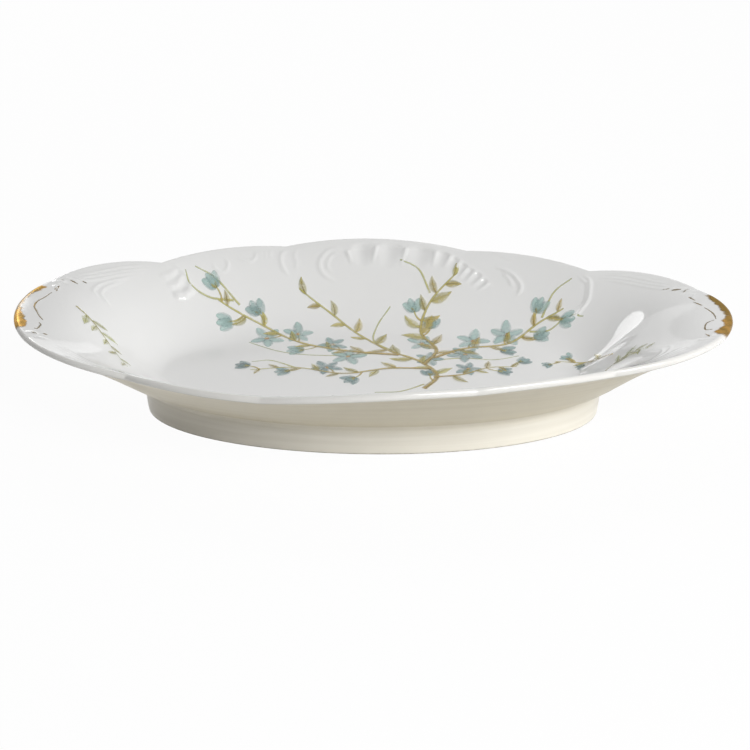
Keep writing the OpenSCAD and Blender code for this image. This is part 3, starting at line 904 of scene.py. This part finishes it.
class Film:
    """Brush strokes laid on the glaze, gathered into one closed mesh."""

    PROUD = 0.02 * MM
    SUNK = 0.02 * MM
    LAYER = 0.0003 * MM
    CREASE = math.radians(60)
    RIM_SHADE = 0.7
    ROOT_SHADE = 0.3
    EDGE_FADE = 0.7

    def __init__(self, ground):
        self.tree = BVHTree.FromPolygons(*ground)
        self.layers = 0
        self.points = []
        self.faces = []
        self.cover = []
        self.pigment = []

    def lift(self, places):
        """The points and facings of the glaze at plan places."""
        points = []
        facings = []
        for x, y in places:
            hit, facing, _, _ = self.tree.ray_cast(Vector((x, y, 1.0)), Vector((0, 0, -1)))
            if hit is None:
                raise RuntimeError(f"a stroke leaves the dish at {x:.4f}, {y:.4f}")
            points.append(hit)
            facings.append(facing)
        return np.array(points), np.array(facings)

    def patch(self, grid, cover, pigment):
        """A closed film over a grid of plan places, with a cover and a pigment at each."""
        rows, columns = grid.shape[:2]
        points, facings = self.lift(grid.reshape(-1, 2))
        self.sheet(points, facings, rows, columns, cover, pigment)

    def sheet(self, points, facings, rows, columns, cover, pigment):
        """A closed film over a grid of points on the glaze."""
        first = sum(len(p) for p in self.points)
        count = rows * columns
        proud = self.PROUD + self.LAYER * self.layers
        self.layers += 1
        self.points += [points + facings * proud, points - facings * self.SUNK]
        self.cover += [cover.ravel(), cover.ravel()]
        self.pigment += [pigment.reshape(-1, 3)] * 2
        index = np.arange(count).reshape(rows, columns) + first
        for r in range(rows - 1):
            for c in range(columns - 1):
                quad = (index[r, c], index[r, c + 1], index[r + 1, c + 1], index[r + 1, c])
                self.faces.append(tuple(int(i) for i in quad))
                self.faces.append(tuple(int(i) + count for i in quad[::-1]))
        border = np.concatenate([index[0, :-1], index[:-1, -1], index[-1, :0:-1], index[:0:-1, 0]])
        for a, b in zip(border, np.roll(border, -1)):
            self.faces.append((int(b), int(a), int(a) + count, int(b) + count))

    def stroke(self, path, half_width, light, dark, cover=1.0, columns=5, rimmed=False):
        """A brush stroke along plan points, with a half width at each, darker at one side or all round."""
        path = np.asarray(path, float)
        along = unit(np.gradient(path, axis=0))
        side = np.column_stack([along[:, 1], -along[:, 0]])
        v = np.sin(np.linspace(math.pi / 2, -math.pi / 2, columns))
        t = np.linspace(0, 1, len(path))[:, None]
        reach = np.asarray(half_width)[:, None] * v[None, :]
        grid = path[:, None, :] + side[:, None, :] * reach[..., None]
        if rimmed:
            shade = self.RIM_SHADE * v[None, :] ** 2 + self.ROOT_SHADE * (1 - t)
        else:
            shade = (1 - v[None, :]) / 2 + 0 * t
        light = np.broadcast_to(light, (len(path), 3))[:, None, :]
        dark = np.broadcast_to(dark, (len(path), 3))[:, None, :]
        pigment = light * (1 - shade[..., None]) + dark * shade[..., None]
        fade = (1 - v[None, :] ** 2) ** self.EDGE_FADE * np.ones_like(t)
        self.patch(grid, fade * cover, pigment)

    def build(self, name, material):
        """The finished piece, painted with its cover and its pigment."""
        piece = mesh_object(name, np.vstack(self.points), self.faces, material, self.CREASE)
        paint(piece, "cover", np.concatenate(self.cover))
        tint = piece.data.attributes.new("pigment", "FLOAT_COLOR", "POINT")
        rgb = np.vstack(self.pigment)
        tint.data.foreach_set("color", np.column_stack([rgb, np.ones(len(rgb))]).astype(np.float32).ravel())
        return piece


def ground_of(piece):
    """The points and faces of a finished piece, for films to lie on."""
    mesh = piece.data
    return [v.co.copy() for v in mesh.vertices], [tuple(p.vertices) for p in mesh.polygons]


# Operators

class DISH_OT_porcelain_body(bpy.types.Operator):
    """Builds the glazed body with its lobed rim and moulded relief"""

    bl_idname = "relish_dish.porcelain_body"
    bl_label = "Porcelain Body"

    def execute(self, context):
        settings = context.scene.relish_dish
        surface = DishSurface(settings.sizes)
        rings, down = surface.body_rings()
        n = surface.stations
        faces = band_faces(len(rings), n, False)
        top = len(rings) * n
        last = top - n
        for i in range(n):
            j = (i + 1) % n
            faces.append((top, i, j))
            faces.append((top + 1, last + j, last + i))
        middles = [(0, 0, surface.floor_z), (0, 0, settings.sizes.foot_height)]
        points = np.vstack(rings + [middles])
        body = mesh_object("porcelain_body", points, faces, porcelain_material(settings.colours))
        # The underside share, which the material turns into painted shade, dullness and streaks below
        paint(body, "underside", np.concatenate([np.repeat(down, n), [0, 1]]))
        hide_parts("dish_body")
        return {"FINISHED"}


class DISH_OT_foot(bpy.types.Operator):
    """Builds the foot ring and the two slip fillets that join it to the body"""

    bl_idname = "relish_dish.foot"
    bl_label = "Foot Ring"

    CREASE = math.radians(50)
    SIDE_SHARES = (1, 0.78, 0.56, 0.34, 0.18)
    SIDE_HOLLOW = 1.6

    def execute(self, context):
        settings = context.scene.relish_dish
        z = settings.sizes
        surface = DishSurface(z)
        material = foot_material(settings.colours, z.foot_height)
        joint = surface.foot_ring(0.0, z.foot_height)
        lean = z.foot_batter * z.outer_slip / z.foot_height
        start = surface.underside_ring(surface.slip_share)
        outer = hollow(start, joint, surface.foot_ring(lean, z.foot_height - z.outer_slip))
        inside = surface.foot_ring(z.foot_wall, z.foot_height)
        low = surface.foot_ring(z.foot_wall, z.foot_height - z.inner_slip)
        inner = hollow(low, inside, surface.foot_ring(z.foot_wall + z.inner_slip, z.foot_height))
        rings = {
            "porcelain_foot": ([surface.foot_ring(*spot) for spot in self.section(z)], "foot_ring"),
            "outer_slip": ([joint] + outer, "outer_slip_fillet"),
            "inner_slip": ([inside] + inner, "inner_slip_fillet"),
        }
        for name, (loop, node) in rings.items():
            faces = band_faces(len(loop), surface.stations, True)
            piece = mesh_object(name, np.vstack(loop), faces, material, self.CREASE)
            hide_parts(node)
        return {"FINISHED"}

    @classmethod
    def section(cls, z):
        """The foot's section as (inset, height) points: leaning outside, round-cornered edge, inside."""
        r = z.edge_round
        outer = z.foot_batter + r
        inner = outer + z.standing_edge
        side = [(z.foot_batter * (1 - q) ** cls.SIDE_HOLLOW, z.foot_height * q) for q in cls.SIDE_SHARES]
        corners = corner_arc((outer, r), r, 180, 270) + corner_arc((inner, r), r, 270, 360)
        return side + corners + [(z.foot_wall, z.foot_height)]


def hollow(start, corner, end, steps=8):
    """Rings of a hollow fillet from one ring to another, drawn in towards the corner between them."""
    t = np.linspace(0, 1, steps)
    return [start * (1 - q) ** 2 + corner * 2 * q * (1 - q) + end * q**2 for q in t]


# The gold hairlines, along (lobe number, depth in millimetres) points
LEFT_LINES = [
    [(6.20, 5.5), (6.30, 5.5), (6.39, 4.5), (6.48, 4.4), (6.56, 5.6), (6.64, 6.6), (6.70, 7.6)],
    [(6.74, 6.2), (6.78, 6.4), (6.84, 4.9), (6.84, 3.9)],
    [(6.92, 2.2), (6.94, 3.3)],
    [(6.92, 5.4), (6.94, 6.4)],
    [(5.95, 1.6), (5.96, 2.4)],
    [(6.14, 4.9), (6.06, 4.3)],
    [(6.16, 6.0), (6.09, 4.9)],
    [(5.92, 3.7), (5.93, 6.7)],
    [(5.86, 6.2), (5.86, 7.7)],
]
RIGHT_LINES = [
    [(0.89, 5.9), (0.80, 6.0)],
    [(0.77, 7.1), (0.67, 6.1)],
    [(0.62, 6.1), (0.48, 4.5), (0.38, 4.0)],
    [(0.36, 4.5), (0.30, 6.6), (0.19, 6.0), (0.19, 3.9)],
    [(0.11, 4.9), (0.05, 2.7)],
    [(1.17, 6.7), (1.14, 5.2)],
    [(1.10, 5.7), (1.07, 3.2)],
    [(1.01, 4.2), (1.03, 1.6)],
]

# The gold, as shares of the way from the tip lobe's far end, depths in millimetres, brightness and cover
LEFT_GOLD = [
    (0.10, 1.6, 0.8, 0.9), (0.17, 1.9, 1.0, 1.0), (0.27, 1.0, 0.3, 0.6), (0.40, 0.7, 0.2, 0.45),
    (0.54, 0.9, 0.3, 0.6), (0.63, 1.8, 0.8, 0.9), (0.74, 2.5, 1.0, 1.0), (0.84, 1.8, 1.0, 1.0),
]
RIGHT_GOLD = [
    (0.12, 1.2, 0.1, 0.9), (0.28, 1.9, 0.0, 1.0), (0.48, 1.7, 0.1, 0.9), (0.56, 1.0, 0.3, 0.8),
    (0.62, 1.9, 0.7, 0.9), (0.68, 2.0, 0.9, 1.0), (0.74, 0.9, 0.5, 0.8), (0.79, 2.2, 0.9, 1.0),
    (0.86, 2.6, 1.0, 1.0), (0.92, 1.4, 0.8, 0.9),
]


class DISH_OT_gilding(bpy.types.Operator):
    """Lays the worn gold on the two tip lobes, with its dark hairlines"""

    bl_idname = "relish_dish.gilding"
    bl_label = "Gilding"

    SPARE_WIDTH = 1.1
    SOFT_EDGE = 1.1 * MM
    END_FADE = 25
    UNDER_FADE = 0.5
    RAGGED = ((0.2, 61, 0), (0.15, 97, 1))
    LINE_HALF_WIDTH = 0.2
    LINE_SWELL = 0.18
    LINE_COVER = 0.75

    def execute(self, context):
        settings = context.scene.relish_dish
        surface = DishSurface(settings.sizes)
        ground = ground_of(bpy.data.objects["porcelain_body"])
        material = gilding_material(settings.colours)
        for name, gold, lines in (("right", RIGHT_GOLD, RIGHT_LINES), ("left", LEFT_GOLD, LEFT_LINES)):
            film = Film(ground)
            self.band(film, surface, settings, name == "left", gold)
            self.hairlines(film, surface, settings.colours, lines)
            piece = film.build("gilding_" + name, material)
            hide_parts("gilt_tip_" + name)
        return {"FINISHED"}

    def band(self, film, surface, settings, on_left, gold):
        """The gold over a tip lobe's lip, uneven in its width and its brightness."""
        rings = np.array(list(surface.inside) + surface.lip_rings(surface.LIP_STEPS - 2))
        facings = surface.facings(rings)
        lip = len(surface.inside)
        inner = int(np.argmin(np.abs(surface.depth[:, 0] - settings.sizes.gilt_width * self.SPARE_WIDTH)))
        steps = surface.LOBE_STATIONS["tip"]
        first = surface.stations // 2 if on_left else 0
        near = np.linspace(0, 1, steps + 1) if on_left else np.linspace(1, 0, steps + 1)
        stations = (first + np.arange(steps + 1)) % surface.stations
        depth = surface.depth[inner:, stations]
        share, reach, bright, thick = np.transpose(gold)
        wave = sum(size * np.sin(near * waves + start) for size, waves, start in self.RAGGED)
        edge = (np.interp(near, share, reach) + wave) * MM
        inside = np.clip((edge - depth) / self.SOFT_EDGE + 0.5, 0, 1)
        outside = np.repeat(np.linspace(1, 0, len(rings) - lip)[:, None], steps + 1, axis=1)
        ends = np.clip(np.minimum(near - share[0], share[-1] - near) * self.END_FADE, 0, 1)
        cover = np.vstack([inside, outside**self.UNDER_FADE]) * ends * np.interp(near, share, thick)
        points = rings[inner:][:, stations]
        shine = np.interp(near, share, bright)[None, :, None] * np.ones((len(points), 1, 1))
        pigment = np.array(settings.colours.gold) * shine + np.array(settings.colours.gold_worn) * (1 - shine)
        outward = facings[inner:][:, stations]
        film.sheet(points.reshape(-1, 3), outward.reshape(-1, 3), *points.shape[:2], cover, pigment)

    def hairlines(self, film, surface, colours, lines):
        """The bracket drawn inside a gold band, and its dashes about the notches."""
        for line in lines:
            plan = laid(surface, line, surface.inside)[:, :2]
            t = np.linspace(0, 1, len(plan))
            half_width = (self.LINE_HALF_WIDTH + self.LINE_SWELL * np.sin(math.pi * t)) * MM
            film.stroke(plan, half_width, colours.hairline, colours.hairline, self.LINE_COVER)


class Spray:
    """Stems, leaves and blossoms painted on the glaze, in plan millimetres from the dish's middle."""

    DARK_SIDE = 0.7
    COVER = (0.75, 0.95)
    FINE_COVER = 0.8
    BULGE_PLACE = 0.8
    LEAF_BEND = 45
    LEAF_TURN = (35, 65)
    LEAF_SIZE = (0.75, 1.15)
    LEAF_TONE = (0.8, 1.15)
    LEAF_PLUMP = 0.23
    LEAF_LEAST = 0.1
    FIRST_LEAF = 0.15
    LOWEST_LEAF = 1.15
    LEAF_SHRINK = 0.4
    OCHRE_MOST = 0.8
    MIDRIB = (0.24, 0.14)
    MIDRIB_TONES = (0.6, 0.7)
    PETALS = 5
    PETAL_TURN = 8
    PETAL_BEND = 30
    PETAL_PLUMP = 0.36
    PETAL_LEAST = 0.05
    PETAL_ENDS = (0.04, 0.95)
    PETAL_TONE = (0.8, 1.5)
    PETAL_SIZE = (0.8, 1.0)
    PETAL_COLUMNS = 7
    PETAL_GLOW = 1.1
    EYE_GAP = 0.12
    EYE_LENGTH = 0.3
    EYE_HALF_WIDTHS = np.array([0.05, 0.13, 0.16, 0.13, 0.05])
    STRONG_COVER = 0.9
    BELL_SPREADS = (-34, 34, 0)
    BELL_TURN = 6
    BELL_NOD = 20
    CUP_SPREADS = (-25, 25)
    CUP_SIZE = 0.4
    CUP_PLUMP = 0.22
    TWIG = (0.45, 0.3)
    TWIG_TURN = (40, 60)
    TWIG_LENGTH = 0.9
    TWIG_BEND = -40
    STEM_END = 0.3
    SHADE_SHIFT = (0.2, -0.3)
    SHADE_WIDTH = 0.25
    SHADE_END = 0.1
    SHADE_TONE = 0.5
    TENDRIL = (0.5, 0.26)

    def __init__(self, film, colours, seed=11):
        self.film = film
        self.teal = np.array(colours.teal)
        self.teal_dark = np.array(colours.teal_dark)
        self.olive = np.array(colours.olive)
        self.olive_pale = np.array(colours.olive_pale)
        self.ochre = np.array(colours.ochre)
        self.sienna = np.array(colours.sienna)
        self.chance = np.random.default_rng(seed)

    def pale(self):
        """Goes over to thin, faint greens."""
        self.olive = self.olive_pale
        self.ochre = (self.olive_pale + self.ochre) / 2

    @staticmethod
    def wander(base, heading, length, bend, steps=9):
        """A gently turning line from a base, with its heading and bend in degrees."""
        turns = np.radians(heading + bend * np.linspace(-0.5, 0.5, steps - 1))
        moves = np.column_stack([np.cos(turns), np.sin(turns)]) * length / (steps - 1)
        return np.vstack([base, base + np.cumsum(moves, axis=0)])

    def line(self, path, first, last, tint, end_tint, cover=1.0):
        """A line that narrows from one half width to another and changes from one tint to another."""
        t = np.linspace(0, 1, len(path))[:, None]
        half_width = np.linspace(first, last, len(path))
        tone = tint * (1 - t) + end_tint * t
        self.film.stroke(path * MM, half_width * MM, tone, tone * self.DARK_SIDE, cover)

    def leaf(self, base, heading, length, tint, plump=LEAF_PLUMP):
        """An almond leaf, darker on one side, with a fine midrib."""
        path = self.wander(base, heading, length, self.chance.uniform(-self.LEAF_BEND, self.LEAF_BEND))
        t = np.linspace(0, 1, len(path))
        half_width = length * plump * np.sin(math.pi * t**self.BULGE_PLACE) + self.LEAF_LEAST
        tone = tint * self.chance.uniform(*self.LEAF_TONE)
        cover = self.chance.uniform(*self.COVER)
        self.film.stroke(path * MM, half_width * MM, tone, tone * self.DARK_SIDE, cover)
        start, end = (self.ochre * share for share in self.MIDRIB_TONES)
        self.line(path[:-2], *self.MIDRIB, start, end, self.FINE_COVER)

    def petal(self, base, heading, size, dusk):
        """A round-ended petal, pale in its middle and darker round its edge."""
        path = self.wander(base, heading, size, self.chance.uniform(-self.PETAL_BEND, self.PETAL_BEND))
        t = np.linspace(0, 1, len(path))
        start, run = self.PETAL_ENDS
        swell = np.sqrt(np.sin(math.pi * (start + run * t**self.BULGE_PLACE)))
        half_width = size * self.PETAL_PLUMP * swell + self.PETAL_LEAST
        light = self.teal * (1 - dusk) + self.teal_dark * dusk
        dark = self.teal_dark * self.chance.uniform(*self.PETAL_TONE)
        cover = self.chance.uniform(*self.COVER)
        self.film.stroke(
            path * MM, half_width * MM, light * self.PETAL_GLOW, dark, cover, self.PETAL_COLUMNS, True
        )

    def blossom(self, centre, heading, size, dusk):
        """An open five-petalled blossom with an ochre eye."""
        for k in range(self.PETALS):
            turn = heading + 360 / self.PETALS * k + self.chance.uniform(-self.PETAL_TURN, self.PETAL_TURN)
            base = self.wander(centre, turn, self.EYE_GAP * size, 0)[-1]
            self.petal(base, turn, size * self.chance.uniform(*self.PETAL_SIZE), dusk)
        eye = self.wander(centre, heading, self.EYE_LENGTH * size, 0, len(self.EYE_HALF_WIDTHS))
        eye -= (eye[-1] - eye[0]) / 2
        half_width = self.EYE_HALF_WIDTHS * size
        self.film.stroke(eye * MM, half_width * MM, self.ochre, self.sienna, self.STRONG_COVER)

    def bell(self, base, heading, size, dusk):
        """A half-open blossom seen from its side, in an olive cup."""
        for spread in self.BELL_SPREADS:
            turn = self.chance.uniform(-self.BELL_TURN, self.BELL_TURN)
            self.petal(base, heading + spread + turn, size, dusk)
        for spread in self.CUP_SPREADS:
            self.leaf(base, heading + spread, self.CUP_SIZE * size, self.olive, self.CUP_PLUMP)

    def branch(self, points, width, leaves, leaf_length, flowers):
        """A stem with leaves on alternate sides, and flowers on short twigs."""
        path = smooth_path(points)
        run = np.linspace(0, 1, len(path))
        heading = np.degrees(np.unwrap(np.arctan2(*np.gradient(path, axis=0).T[::-1])))

        def place(share):
            return np.array([np.interp(share, run, path[:, 0]), np.interp(share, run, path[:, 1])])

        for share, side, size, is_open, dusk in flowers:
            turn = np.interp(share, run, heading) + side * self.chance.uniform(*self.TWIG_TURN)
            twig = self.wander(place(share), turn, size * self.TWIG_LENGTH, self.TWIG_BEND * side)
            self.line(twig, *self.TWIG, self.ochre, self.olive)
            if is_open:
                self.blossom(twig[-1], turn, size, dusk)
            else:
                self.bell(twig[-1], turn - self.BELL_NOD * side, size, dusk)
        for k in range(leaves):
            share = self.FIRST_LEAF + (1 - self.FIRST_LEAF) * (k + 0.5) / leaves
            side = 1 if k % 2 else -1
            turn = np.interp(share, run, heading) + side * self.chance.uniform(*self.LEAF_TURN)
            size = leaf_length * self.chance.uniform(*self.LEAF_SIZE)
            size *= self.LOWEST_LEAF - self.LEAF_SHRINK * share
            mix = self.chance.uniform(0, self.OCHRE_MOST)
            self.leaf(place(share), turn, size, self.olive * (1 - mix) + self.ochre * mix)
        self.line(path, width, self.STEM_END * width, self.ochre, self.olive)
        shade = path[: len(path) * 2 // 3] + width * np.array(self.SHADE_SHIFT)
        dark = self.ochre * self.SHADE_TONE
        self.line(shade, self.SHADE_WIDTH * width, self.SHADE_END, dark, self.ochre, self.FINE_COVER)

    def tendril(self, points):
        """A pale, fine, curling line."""
        self.line(smooth_path(points), *self.TENDRIL, self.olive, self.olive_pale, self.STRONG_COVER)


# The print: branches as points, half width, leaves, leaf length, and flowers (share, side, size, open, dusk)
POSY = [
    ([(16, -12), (20, -3), (15, 7), (5, 15), (-4, 25), (-13, 34), (-25, 42)], 1.1, 13, 7.5, [
        (0.10, 1, 4.6, False, 0.8), (0.30, -1, 5.0, True, 0.6),
    ]),
    ([(8, 12), (-6, 14), (-21, 19), (-35, 28), (-51, 34)], 1.1, 9, 6.5, [
        (0.22, 1, 5.6, True, 0.0), (0.33, -1, 5.2, True, 0.5), (0.45, 1, 5.6, False, 0.1),
        (0.56, -1, 5.4, True, 0.1), (0.66, 1, 5.8, True, 0.0), (0.76, -1, 5.0, False, 0.4),
        (0.87, 1, 5.2, False, 0.0), (0.98, -1, 5.0, False, 0.1),
    ]),
    ([(16, 5), (20, 16), (15, 28), (18, 39), (27, 48)], 1.0, 12, 8.0, [
        (0.30, 1, 5.2, True, 0.1), (0.45, -1, 5.0, False, 0.3), (0.60, 1, 4.8, False, 0.0),
    ]),
    ([(19, 10), (29, 17), (42, 20), (52, 27), (61, 30)], 1.0, 8, 6.5, [
        (0.15, -1, 5.4, True, 0.5), (0.28, 1, 5.6, True, 0.0), (0.40, -1, 5.2, False, 0.6),
        (0.50, 1, 5.6, True, 0.1), (0.62, -1, 5.0, False, 0.2), (0.74, 1, 5.0, False, 0.0),
        (0.88, -1, 4.6, False, 0.1),
    ]),
    ([(18, 2), (5, 2), (-9, -2), (-24, 2), (-38, 0)], 0.8, 8, 6.0, [
        (0.40, 1, 5.0, False, 0.8), (0.55, -1, 5.0, True, 0.9), (0.72, 1, 4.8, False, 0.6),
        (0.95, -1, 4.6, False, 0.9),
    ]),
    ([(19, -4), (28, -2), (36, 3), (45, 4)], 0.7, 6, 5.5, [
        (0.35, 1, 4.8, True, 0.8), (0.65, -1, 4.6, False, 0.9), (0.95, 1, 4.4, False, 0.7),
    ]),
    ([(74, 0), (69, 4), (63, 7), (57, 8)], 0.5, 4, 4.2, [
        (0.35, 1, 3.2, False, 0.8), (0.65, -1, 3.4, False, 0.3), (0.95, 1, 3.2, False, 0.6),
    ]),
]
TENDRILS = [
    [(-46, 35), (-54, 34), (-60, 36), (-62, 40)],
    [(-44, 34), (-52, 40), (-59, 42)],
    [(50, 25), (56, 24), (62, 27), (67, 25)],
    [(54, 29), (58, 36), (64, 39)],
    [(18, 42), (14, 50), (8, 53)],
    [(-24, 2), (-32, 7), (-38, 6)],
    [(16, -9), (9, -14), (1, -15)],
    [(6, 15), (0, 22), (1, 31), (5, 38)],
    [(19, 8), (28, 10), (38, 9), (46, 12)],
    [(2, 13), (-14, 11), (-28, 13), (-40, 20)],
]
FAINT_SPRIGS = [
    ([(-92, 6), (-86, 1), (-80, -6), (-74, -14)], 0.4, 9, 4.6, []),
    ([(71, -11), (75, -8), (79, -8), (83, -12)], 0.4, 8, 4.2, []),
]


class DISH_OT_printed_sprays(bpy.types.Operator):
    """Prints a posy of blossoms and leaves in the well, and sprigs near the rim"""

    bl_idname = "relish_dish.printed_sprays"
    bl_label = "Printed Sprays"

    def execute(self, context):
        colours = context.scene.relish_dish.colours
        film = Film(ground_of(bpy.data.objects["porcelain_body"]))
        spray = Spray(film, colours)
        for points in TENDRILS:
            spray.tendril(points)
        for branch in POSY:
            spray.branch(*branch)
        spray.pale()
        for branch in FAINT_SPRIGS:
            spray.branch(*branch)
        film.build("printed_sprays", print_material())
        return {"FINISHED"}


class DISH_OT_stage(bpy.types.Operator):
    """Sets out the table, the lights and the camera"""

    bl_idname = "relish_dish.stage"
    bl_label = "Stage"

    # Softboxes: two ends as azimuth and elevation, breadth in metres, shape, and whether the glaze mirrors it
    SOFTBOXES = {
        "key": ((330, 30), (290, 40), 0.3, "RECTANGLE", True),
        "right": ((350, 10), (10, 10), 0.2, "RECTANGLE", False),
        "left": ((155, 12), (190, 12), 0.2, "RECTANGLE", False),
        "back": ((100, 9), (130, 9), 0.2, "RECTANGLE", False),
        "sheen": ((82, 8), (138, 8), 0.4, "RECTANGLE", True),
        "top": ((60, 45), (120, 45), 0.3, "RECTANGLE", False),
        "strip": ((109.5, 20), (121.5, 33.5), 0.23, "ELLIPSE", True),
    }
    TABLE_HALF = 3.0
    TABLE_TOP = -0.05 * MM
    TABLE_WHITENESS = 0.96
    VIEW_CENTRE = (0.82 * MM, -1.44 * MM, 11.94 * MM)
    SENSOR_WIDTH = 36.0
    NEAREST = 0.01

    def execute(self, context):
        studio = context.scene.relish_dish.studio
        context.scene.view_settings.view_transform = "Standard"
        self.table(studio)
        self.sky(context, studio)
        for name, box in self.SOFTBOXES.items():
            self.softbox(name + "_softbox", getattr(studio, name + "_power"), *box)
        self.camera(context, studio)
        return {"FINISHED"}

    def table(self, studio):
        """A wide pale table top that the camera sees as white."""
        corners = [(-1, -1), (1, -1), (1, 1), (-1, 1)]
        mesh = bpy.data.meshes.new("table")
        points = [(x * self.TABLE_HALF, y * self.TABLE_HALF, self.TABLE_TOP) for x, y in corners]
        mesh.from_pydata(points, [], [(0, 1, 2, 3)])
        table = bpy.data.objects.new("table", mesh)
        bpy.context.scene.collection.objects.link(table)
        material = bpy.data.materials.new("pale_table")
        tree, surface = blank_tree(material, "ShaderNodeOutputMaterial")
        matte = add(tree, "ShaderNodeBsdfDiffuse", Color=(*studio.floor_colour, 1.0))
        white = add(tree, "ShaderNodeEmission", Color=(1, 1, 1, 1), Strength=1.0)
        mix = tree.nodes.new("ShaderNodeMixShader")
        seen = combine(tree, "MULTIPLY", seen_directly(tree), self.TABLE_WHITENESS)
        for socket, value in zip(mix.inputs, (seen, matte.outputs[0], white.outputs[0])):
            feed(tree, socket, value)
        tree.links.new(mix.outputs[0], surface)
        mesh.materials.append(material)

    @staticmethod
    def sky(context, studio):
        """Even white light, and a white surround for the camera and the glaze."""
        world = bpy.data.worlds.new("white_studio")
        tree, surface = blank_tree(world, "ShaderNodeOutputWorld")
        strength = remap(tree, seen_directly(tree), 0.0, 1.0, studio.sky_strength, 1.0)
        background = add(tree, "ShaderNodeBackground", Color=(1, 1, 1, 1), Strength=strength)
        tree.links.new(background.outputs[0], surface)
        context.scene.world = world

    @staticmethod
    def softbox(name, power, start, end, breadth, shape, in_glaze):
        """A flat softbox between two directions, a metre away."""
        first, last = (aim(*direction) for direction in (start, end))
        along = (last - first).normalized()
        place = (first + last) / 2
        back = (place - along * place.dot(along)).normalized()
        light = bpy.data.lights.new(name, "AREA")
        light.shape = shape
        light.size = (last - first).length
        light.size_y = breadth
        light.energy = power
        lamp = bpy.data.objects.new(name, light)
        axes = Matrix((along, back.cross(along), back)).transposed()
        lamp.matrix_world = Matrix.LocRotScale(place, axes, None)
        lamp.visible_glossy = in_glaze
        bpy.context.scene.collection.objects.link(lamp)

    def camera(self, context, studio):
        """The camera at the photo's angle."""
        lens = bpy.data.cameras.new("camera")
        lens.lens = studio.lens
        lens.sensor_width = self.SENSOR_WIDTH
        lens.clip_start = self.NEAREST
        camera = bpy.data.objects.new("camera", lens)
        flat = studio.camera_distance * math.cos(studio.camera_elevation)
        rise = studio.camera_distance * math.sin(studio.camera_elevation)
        place = Vector((flat * math.sin(studio.camera_turn), -flat * math.cos(studio.camera_turn), rise))
        place.z += studio.camera_target
        camera.location = place
        camera.rotation_euler = (Vector(self.VIEW_CENTRE) - place).to_track_quat("-Z", "Y").to_euler()
        context.scene.collection.objects.link(camera)
        context.scene.camera = camera


def aim(azimuth, elevation):
    """A direction of length 1 from angles in degrees."""
    turn, rise = math.radians(azimuth), math.radians(elevation)
    return Vector((math.cos(rise) * math.cos(turn), math.cos(rise) * math.sin(turn), math.sin(rise)))


def seen_directly(tree):
    """1 for rays from the camera or off a mirror-like or clear surface, which see the white studio."""
    path = tree.nodes.new("ShaderNodeLightPath")
    seen = path.outputs["Is Camera Ray"]
    for name in ("Is Glossy Ray", "Is Transmission Ray"):
        seen = combine(tree, "MAXIMUM", seen, path.outputs[name])
    return seen


class DISH_PT_panel(bpy.types.Panel):
    """Lists the dish's settings and the steps that build it"""

    bl_idname = "DISH_PT_panel"
    bl_label = "Relish Dish"
    bl_space_type = "VIEW_3D"
    bl_region_type = "UI"
    bl_category = "Relish Dish"

    def draw(self, context):
        settings = context.scene.relish_dish
        for group in (settings.sizes, settings.colours, settings.studio):
            column = self.layout.column(align=True)
            for name in group.__annotations__:
                column.prop(group, name)
        for step in STEPS:
            self.layout.operator(step.bl_idname)


STEPS = (DISH_OT_stage, DISH_OT_porcelain_body, DISH_OT_foot, DISH_OT_gilding, DISH_OT_printed_sprays)
CLASSES = (DishSizes, FinishColours, StudioSettings, RelishDishSettings, *STEPS, DISH_PT_panel)


def register():
    for cls in CLASSES:
        bpy.utils.register_class(cls)
    bpy.types.Scene.relish_dish = PointerProperty(type=RelishDishSettings)


def unregister():
    del bpy.types.Scene.relish_dish
    for cls in reversed(CLASSES):
        bpy.utils.unregister_class(cls)


def main():
    register()
    bpy.ops.relish_dish.stage()
    bpy.ops.relish_dish.porcelain_body()
    bpy.ops.relish_dish.foot()
    bpy.ops.relish_dish.gilding()
    bpy.ops.relish_dish.printed_sprays()


if __name__ == "__main__":
    main()
